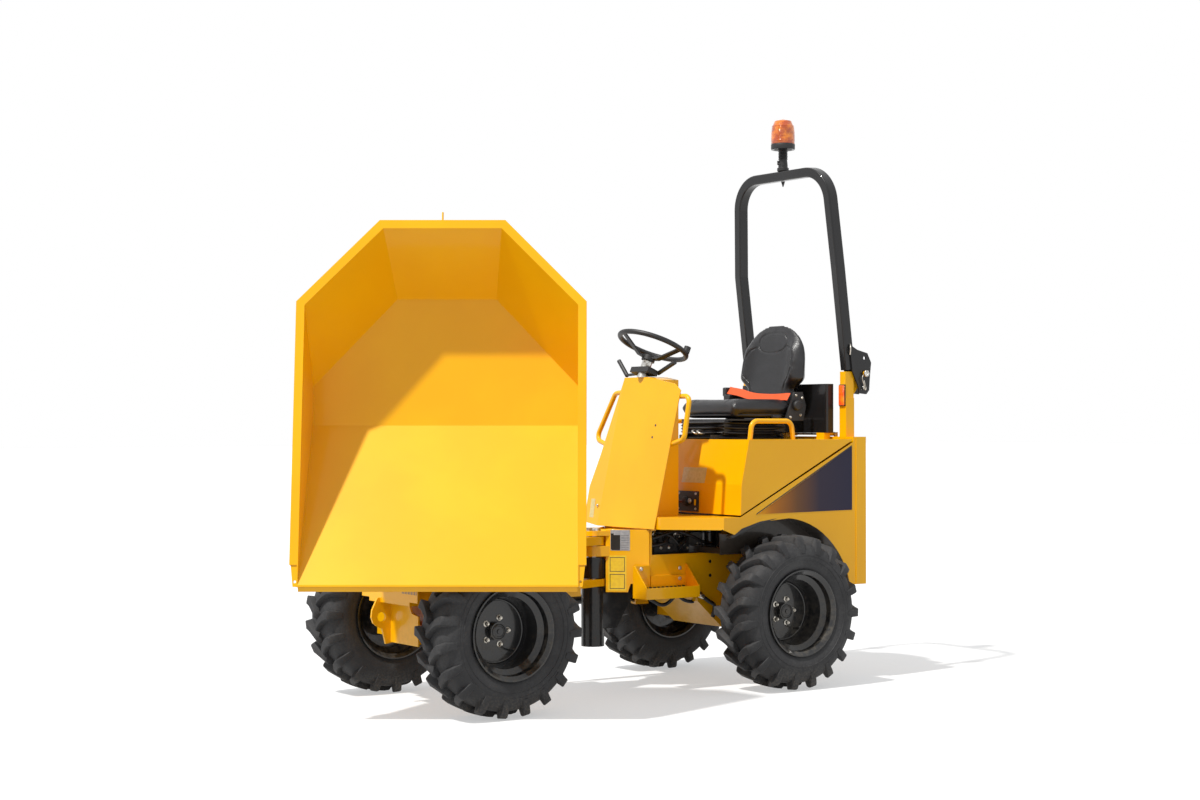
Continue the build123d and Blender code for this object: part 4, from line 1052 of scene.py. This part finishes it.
# %% Forms of the two pads
BACK_HALF, BACK_WAIST = 251.0, 184.0


def smooth_step(value, low, high):
    t = max(0.0, min(1.0, (value - low) / (high - low)))
    return t * t * (3 - 2 * t)


def back_width(z):
    if z < 1600:
        return BACK_WAIST + (BACK_HALF - BACK_WAIST) * smooth_step(z, 1478, 1550)
    return BACK_HALF * math.sqrt(max(0.0, 1 - ((z - 1600) / 231) ** 2.6))


def back_ring(z):
    """One level of the backrest: front with bolsters, then the plain rear."""
    half = max(back_width(z), 6) - 4
    taper = 1 - smooth_step(z, 1770, 1830) * 0.55
    centre = -297 - 0.19 * max(0.0, z - 1430)
    rear = -392 - 4 * smooth_step(z, 1600, 1700)
    bolster = 26 * smooth_step(z, 1490, 1560) * (1 - smooth_step(z, 1690, 1780))
    mid = (centre + rear) / 2
    ring = []
    for i in range(41):
        s = 1 - i / 20
        edge = max(0.0, (abs(s) - 0.80) / 0.20)
        x = centre + bolster * math.exp(-((abs(s) - 0.80) / 0.16) ** 2) - 4
        x = x + (mid - x) * (1 - math.sqrt(max(0.0, 1 - edge ** 2.2)))
        ring.append(at(mid + (x - mid) * taper, half * s, z))
    for i in range(1, 20):
        s = -1 + i / 10
        edge = max(0.0, (abs(s) - 0.85) / 0.15)
        x = rear + 4 + (mid - rear) * (1 - math.sqrt(max(0.0, 1 - edge ** 2.2)))
        ring.append(at(mid + (x - mid) * taper, half * s, z))
    return ring


def cushion_ring(x):
    """One cross-section of the cushion, from its left side over the top to the right."""
    front, rear = 88.0, -284.0
    roll = math.sqrt(max(0.02, 1 - max(0.0, (x - front + 46) / 46) ** 2))
    tail = math.sqrt(max(0.05, 1 - max(0.0, (rear + 26 - x) / 26) ** 2))
    half = 234 - 20 * (1 - roll) - 8 * (1 - tail)
    mid, top, low = 1386, 1386 + 42 * roll * tail, 1386 - 46 * roll
    ring = []
    for i in range(41):
        s = 1 - i / 20
        edge = max(0.0, (abs(s) - 0.80) / 0.20)
        dish = 15 * (1 - smooth_step(abs(s), 0.35, 0.74)) * smooth_step(-x, -60, 30)
        z = mid + (top - dish - mid) * math.sqrt(max(0.0, 1 - edge ** 2.2))
        ring.append(at(x, half * s, z))
    for i in range(1, 20):
        s = -1 + i / 10
        edge = max(0.0, (abs(s) - 0.9) / 0.1)
        ring.append(at(x, half * s * 0.98, mid + (low - mid) * math.sqrt(max(0.0, 1 - edge ** 2.0))))
    return ring


BACK_LEVELS = [1398, 1404] + list(range(1416, 1780, 14)) + [1786, 1796, 1805, 1813, 1819, 1824, 1827]
back = Bench()
back.loft([back_ring(z) for z in BACK_LEVELS])
back_pad = back.done("back_pad", VINYL, "hood", "seat_vinyl", smooth=180)
CUSHION_STATIONS = [-284, -280, -272] + list(range(-260, 56, 14)) + [62, 70, 77, 83, 87]
seat = Bench()
seat.loft([cushion_ring(x) for x in CUSHION_STATIONS])
seat_pad = seat.done("seat_pad", VINYL, "hood", "seat_vinyl", smooth=180)
print("pads formed:", len(back_pad.data.vertices), len(seat_pad.data.vertices))

# %% [markdown]
# ## Filling the pads
# The recipe is: remesh to an even net, let cloth with a little pressure and no gravity
# swell it, hold each point within a few millimetres of where it began, and keep the
# result. The limit stands for the stiffness of moulded foam. It is baked into the mesh.

# %% Swell a pad


def bake(piece):
    graph = bpy.context.evaluated_depsgraph_get()
    mesh = bpy.data.meshes.new_from_object(piece.evaluated_get(graph))
    piece.modifiers.clear()
    old = piece.data
    piece.data = mesh
    bpy.data.meshes.remove(old)
    return piece


def swell(piece, voxel, cap, pressure=4.0):
    net = piece.modifiers.new("net", "REMESH")
    net.mode, net.voxel_size = "VOXEL", voxel * MM
    bake(piece)
    start = [v.co.copy() for v in piece.data.vertices]
    cloth = piece.modifiers.new("fill", "CLOTH")
    cloth.settings.use_pressure = True
    cloth.settings.uniform_pressure_force = pressure
    cloth.settings.quality = 4
    cloth.settings.mass = 0.3
    cloth.settings.tension_stiffness = cloth.settings.compression_stiffness = 25
    cloth.settings.bending_stiffness = 2.0
    cloth.settings.effector_weights.gravity = 0.0
    cloth.point_cache.frame_start, cloth.point_cache.frame_end = 1, 20
    for number in range(1, 21):
        bpy.context.scene.frame_set(number)
    bake(piece)
    for vertex, home in zip(piece.data.vertices, start):
        move = vertex.co - home
        if move.length > cap * MM:
            vertex.co = home + move * (cap * MM / move.length)
    bpy.context.scene.frame_set(1)
    finer = piece.modifiers.new("finer", "SUBSURF")
    finer.levels = finer.render_levels = 1
    bake(piece)
    piece.data.shade_smooth()
    return piece


swell(back_pad, 8.0, 4.0)
swell(seat_pad, 8.0, 5.0)
print("pads filled:", len(back_pad.data.polygons), len(seat_pad.data.polygons), "faces")

# %% [markdown]
# ## Sewing the seams
# A seam pulls the cover in along a line. Each point near the line moves inward by a smooth
# groove a few millimetres wide, so the line needs no cut in the mesh. The oval is a seam
# on the head; the long ones follow the inner edge of each bolster.

# %% Seams


def reach(p, line):
    """Distance in the seat's flat view from a point to a run of points."""
    best = 1e9
    for a, b in zip(line, line[1:]):
        along = b - a
        t = max(0.0, min(1.0, (p - a).dot(along) / along.length_squared))
        best = min(best, (p - a - along * t).length)
    return best


def sew(piece, lines, flat, inward, depth, width, where):
    for vertex in piece.data.vertices:
        if where(vertex):
            p = flat(vertex.co)
            gap = min(reach(p, line) for line in lines)
            if gap < width * 3:
                vertex.co += inward * depth * MM * math.exp(-(gap / width) ** 2)
    piece.data.update()


def oval(height, half_wide, half_high, steps=40):
    ring = [squarish(2 * math.pi * i / steps, 2 / 2.6) for i in range(steps + 1)]
    return [Vector((half_wide * across, height + half_high * up)) for across, up in ring]


ORIGIN = at(0, 0, 0)


def back_flat(p):
    return Vector(((p.y - ORIGIN.y) / MM, p.z / MM))


left_seam = [Vector(p) for p in ((124, 1712), (160, 1696), (188, 1652), (194, 1600), (184, 1560),
                                 (144, 1524), (134, 1490), (136, 1420))]
right_seam = [Vector((-p.x, p.y)) for p in left_seam]
BACK_FRONT = at(-386, 0, 0).x
sew(back_pad, [left_seam, right_seam, oval(1733, 112, 52)], back_flat, Vector((-1, 0, 0)), 5.0, 4.2,
    lambda v: v.normal.x > 0.35 and v.co.x > BACK_FRONT)


def seat_flat(p):
    return Vector(((p.x - ORIGIN.x) / MM, (p.y - ORIGIN.y) / MM))


side_seam = [Vector(p) for p in ((-275, 146), (-120, 154), (0, 150), (70, 132))]
cross_seam = [Vector(p) for p in ((0, 150), (8, 60), (10, 0), (8, -60), (0, -150))]
sew(seat_pad, [side_seam, [Vector((p.x, -p.y)) for p in side_seam], cross_seam], seat_flat,
    Vector((0, 0, -1)), 4.5, 4.2, lambda v: v.normal.z > 0.3)
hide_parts("seat_back")
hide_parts("seat_cushion")
print("seams sewn")

# %% [markdown]
# ## Bellows, piping, belt and the seat's hardware
# A rubber bellows hides the suspension: a stack of soft folds, each a little uneven. A thin
# roll of piping runs round the foot of the cushion. The belt is flat webbing that
# lies over the rear of the cushion from its reel, so it is a strip carried along a sagging
# line, with thickness and two edges. Bright handles stick out below.

# %% Bellows, belt and hardware
bench = Bench()
levels = []
for step in range(37):
    z, turn = 1234 + 2.5 * step, step / 36 * 3.5 * 2 * math.pi
    fold = 11 * math.cos(turn) - 4 * step / 36
    level = []
    for i in range(72):
        a = 2 * math.pi * i / 72
        x, y = squarish(a, 0.4)
        wave = 3 * math.sin(5 * a + step / 9) + 2 * math.sin(11 * a)
        level.append(at(-82 + (212 + fold + wave) * x, (196 + fold + wave) * y, z + 2 * math.sin(3 * a)))
    levels.append(level)
bench.loft(levels)
bench.done("bellows", VINYL, "hood", "seat_vinyl", smooth=60)
bench = Bench()
ring = [squarish(2 * math.pi * i / 72, 0.32) for i in range(72)]
ring = [at(-106 + 180 * x, 225 * y, 1350) for x, y in ring]
bench.tube(ring + ring[:2], 4.5, 10, cap=False)
bench.done("seat_piping", VINYL, "hood", "seat_vinyl", smooth=60)


def strap(name, points, wide, thick, material, body, slot, lean):
    """Flat webbing along a run of points. Its width leans back by lean for each unit up."""
    line = curve([at(*p) for p in points], 12)
    rings = []
    for i, p in enumerate(line):
        ahead = (line[min(i + 1, len(line) - 1)] - line[max(i - 1, 0)]).normalized()
        up = Vector((-lean, 0, 1)).normalized()
        flat = (up - ahead * up.dot(ahead)).normalized()
        out = ahead.cross(flat).normalized()
        h, t = flat * wide / 2 * MM, out * thick / 2 * MM
        rings.append([p - h - t * 0.4, p - h * 0.97 + t, p + h * 0.97 + t, p + h - t * 0.4,
                      p + h * 0.97 - t, p - h * 0.97 - t])
    bench = Bench()
    bench.loft(rings)
    bench.done(name, material, body, slot, smooth=45)


strap("belt", [(-262, -262, 1486), (-262, -236, 1482), (-270, -170, 1472), (-272, -110, 1458),
               (-272, -50, 1449), (-270, 20, 1445), (-268, 90, 1443), (-262, 160, 1444), (-258, 214, 1446),
               (-262, 238, 1445)], 46, 2.2, BELT, "hood", "seat_vinyl", 0.75)
bench = Bench()
for x0, x1, y0, y1, z0, z1 in ((-292, -232, -266, -214, 1424, 1462), (-284, -240, -284, -254, 1452, 1500)):
    bench.plate(box_outline(x0, x1, y0, y1), z1 - z0, Matrix.Translation(at(0, 0, z0)))
bench.done("belt_reel", PLASTIC, "hood", "black_plastic", bevel=6)
bench = Bench()
for y in (-24, 18):
    line = curve([at(120, y, 1268), at(146, y, 1273), at(166, y + 4, 1268), at(164, y + 26, 1258),
                  at(142, y + 30, 1256), at(120, y + 22, 1257)], 6)
    bench.tube(line, 4, 10)
bench.done("seat_handles", ZINC, "hood", "bright_steel", smooth=60)
bench = Bench()
for x, z in ((-300, 1452), (-340, 1440), (-330, 1352), (-262, 1340)):
    for side in (1, -1):
        bench.bolt(at(x, 250.2 * side, z), (0, side, 0), 7)
bench.done("seat_bolts", ZINC, "hood", "bright_steel", bevel=0.4)
bench = Bench()
bench.turn([(24, 0), (27, 4), (27, 14), (22, 20), (8, 22), (0.1, 22)],
           facing(at(-302, 250, 1400), (0, 1, 0)), 12, cap=False)
bench.tube(curve([at(-200, 242, 1342), at(-170, 250, 1341), at(-140, 250, 1345)], 6), 8, 10)
bench.done("seat_knob", PLASTIC, "hood", "black_plastic", smooth=30)
print("seat dressed")

# %% [markdown]
# ## The stage
# A pale floor meets a white background, and a high sun from ahead is softened by an even
# sky: the plain light of a product picture. To the camera, and in what gloss mirrors, both
# are white. For all other light the sky is dimmer and the floor is grey, so they fill the
# shadows and do not flood them. The floor's glow to the camera leaves its shadow in place.

# %% Floor, light and camera
floor_look = Look("floor")
specks = floor_look.noise(floor_look.place(), 30.0)
floor_look.set(Base_Color=floor_look.blend(specks * 0.5, rgb("B4B4B4"), rgb("BCBCBC")), Roughness=0.85)
FLOOR = 90
bench = Bench()
bench.loft([[Vector((x, y, z)) for x, y in box_outline(-FLOOR, FLOOR, -FLOOR, FLOOR)] for z in (0, -0.02)])
floor = bench.done("floor", floor_look.material, None, ride=False)
glow = floor_look.node("ShaderNodeEmission", None, {"Strength": 0.46})
both = floor_look.node("ShaderNodeAddShader", None, {0: floor_look.plain, 1: glow})
floor_look.show(floor_look.node("ShaderNodeMixShader", None,
                                {0: floor_look.seen_as_white(), 1: floor_look.plain, 2: both}))

bpy.context.scene.world = bpy.data.worlds.new("studio")
sky = Graph(bpy.context.scene.world, "ShaderNodeOutputWorld")
dim, white = (sky.node("ShaderNodeBackground", None, {"Color": colour, "Strength": strength})
              for colour, strength in (((0.93, 0.96, 1, 1), 0.55), ((1, 1, 1, 1), 1.0)))
sky.show(sky.node("ShaderNodeMixShader", None, {0: sky.seen_as_white(), 1: dim, 2: white}))

sun = bpy.data.objects.new("sun", bpy.data.lights.new("sun", "SUN"))
bpy.context.scene.collection.objects.link(sun)
sun.data.energy, sun.data.angle, sun.data.color = 4.0, math.radians(2.0), (1.0, 0.98, 0.94)
SUNLIGHT = Vector((-0.525, -0.074, -0.848))
sun.rotation_euler = SUNLIGHT.to_track_quat("-Z", "Y").to_euler()

camera = bpy.data.objects.new("camera", bpy.data.cameras.new("camera"))
bpy.context.scene.collection.objects.link(camera)
camera.data.lens, camera.data.sensor_width, camera.data.clip_end = 60.0, 36.0, 400.0
camera.location = (5.458, 7.932, 1.31)
heading, pitch = math.radians(235.07), math.radians(0.66)
look_at = Vector((math.cos(heading) * math.cos(pitch), math.sin(heading) * math.cos(pitch), math.sin(pitch)))
camera.rotation_euler = look_at.to_track_quat("-Z", "Y").to_euler()
bpy.context.scene.camera = camera
bpy.context.scene.view_settings.view_transform = "Standard"
print("camera at", [round(v, 2) for v in camera.location])
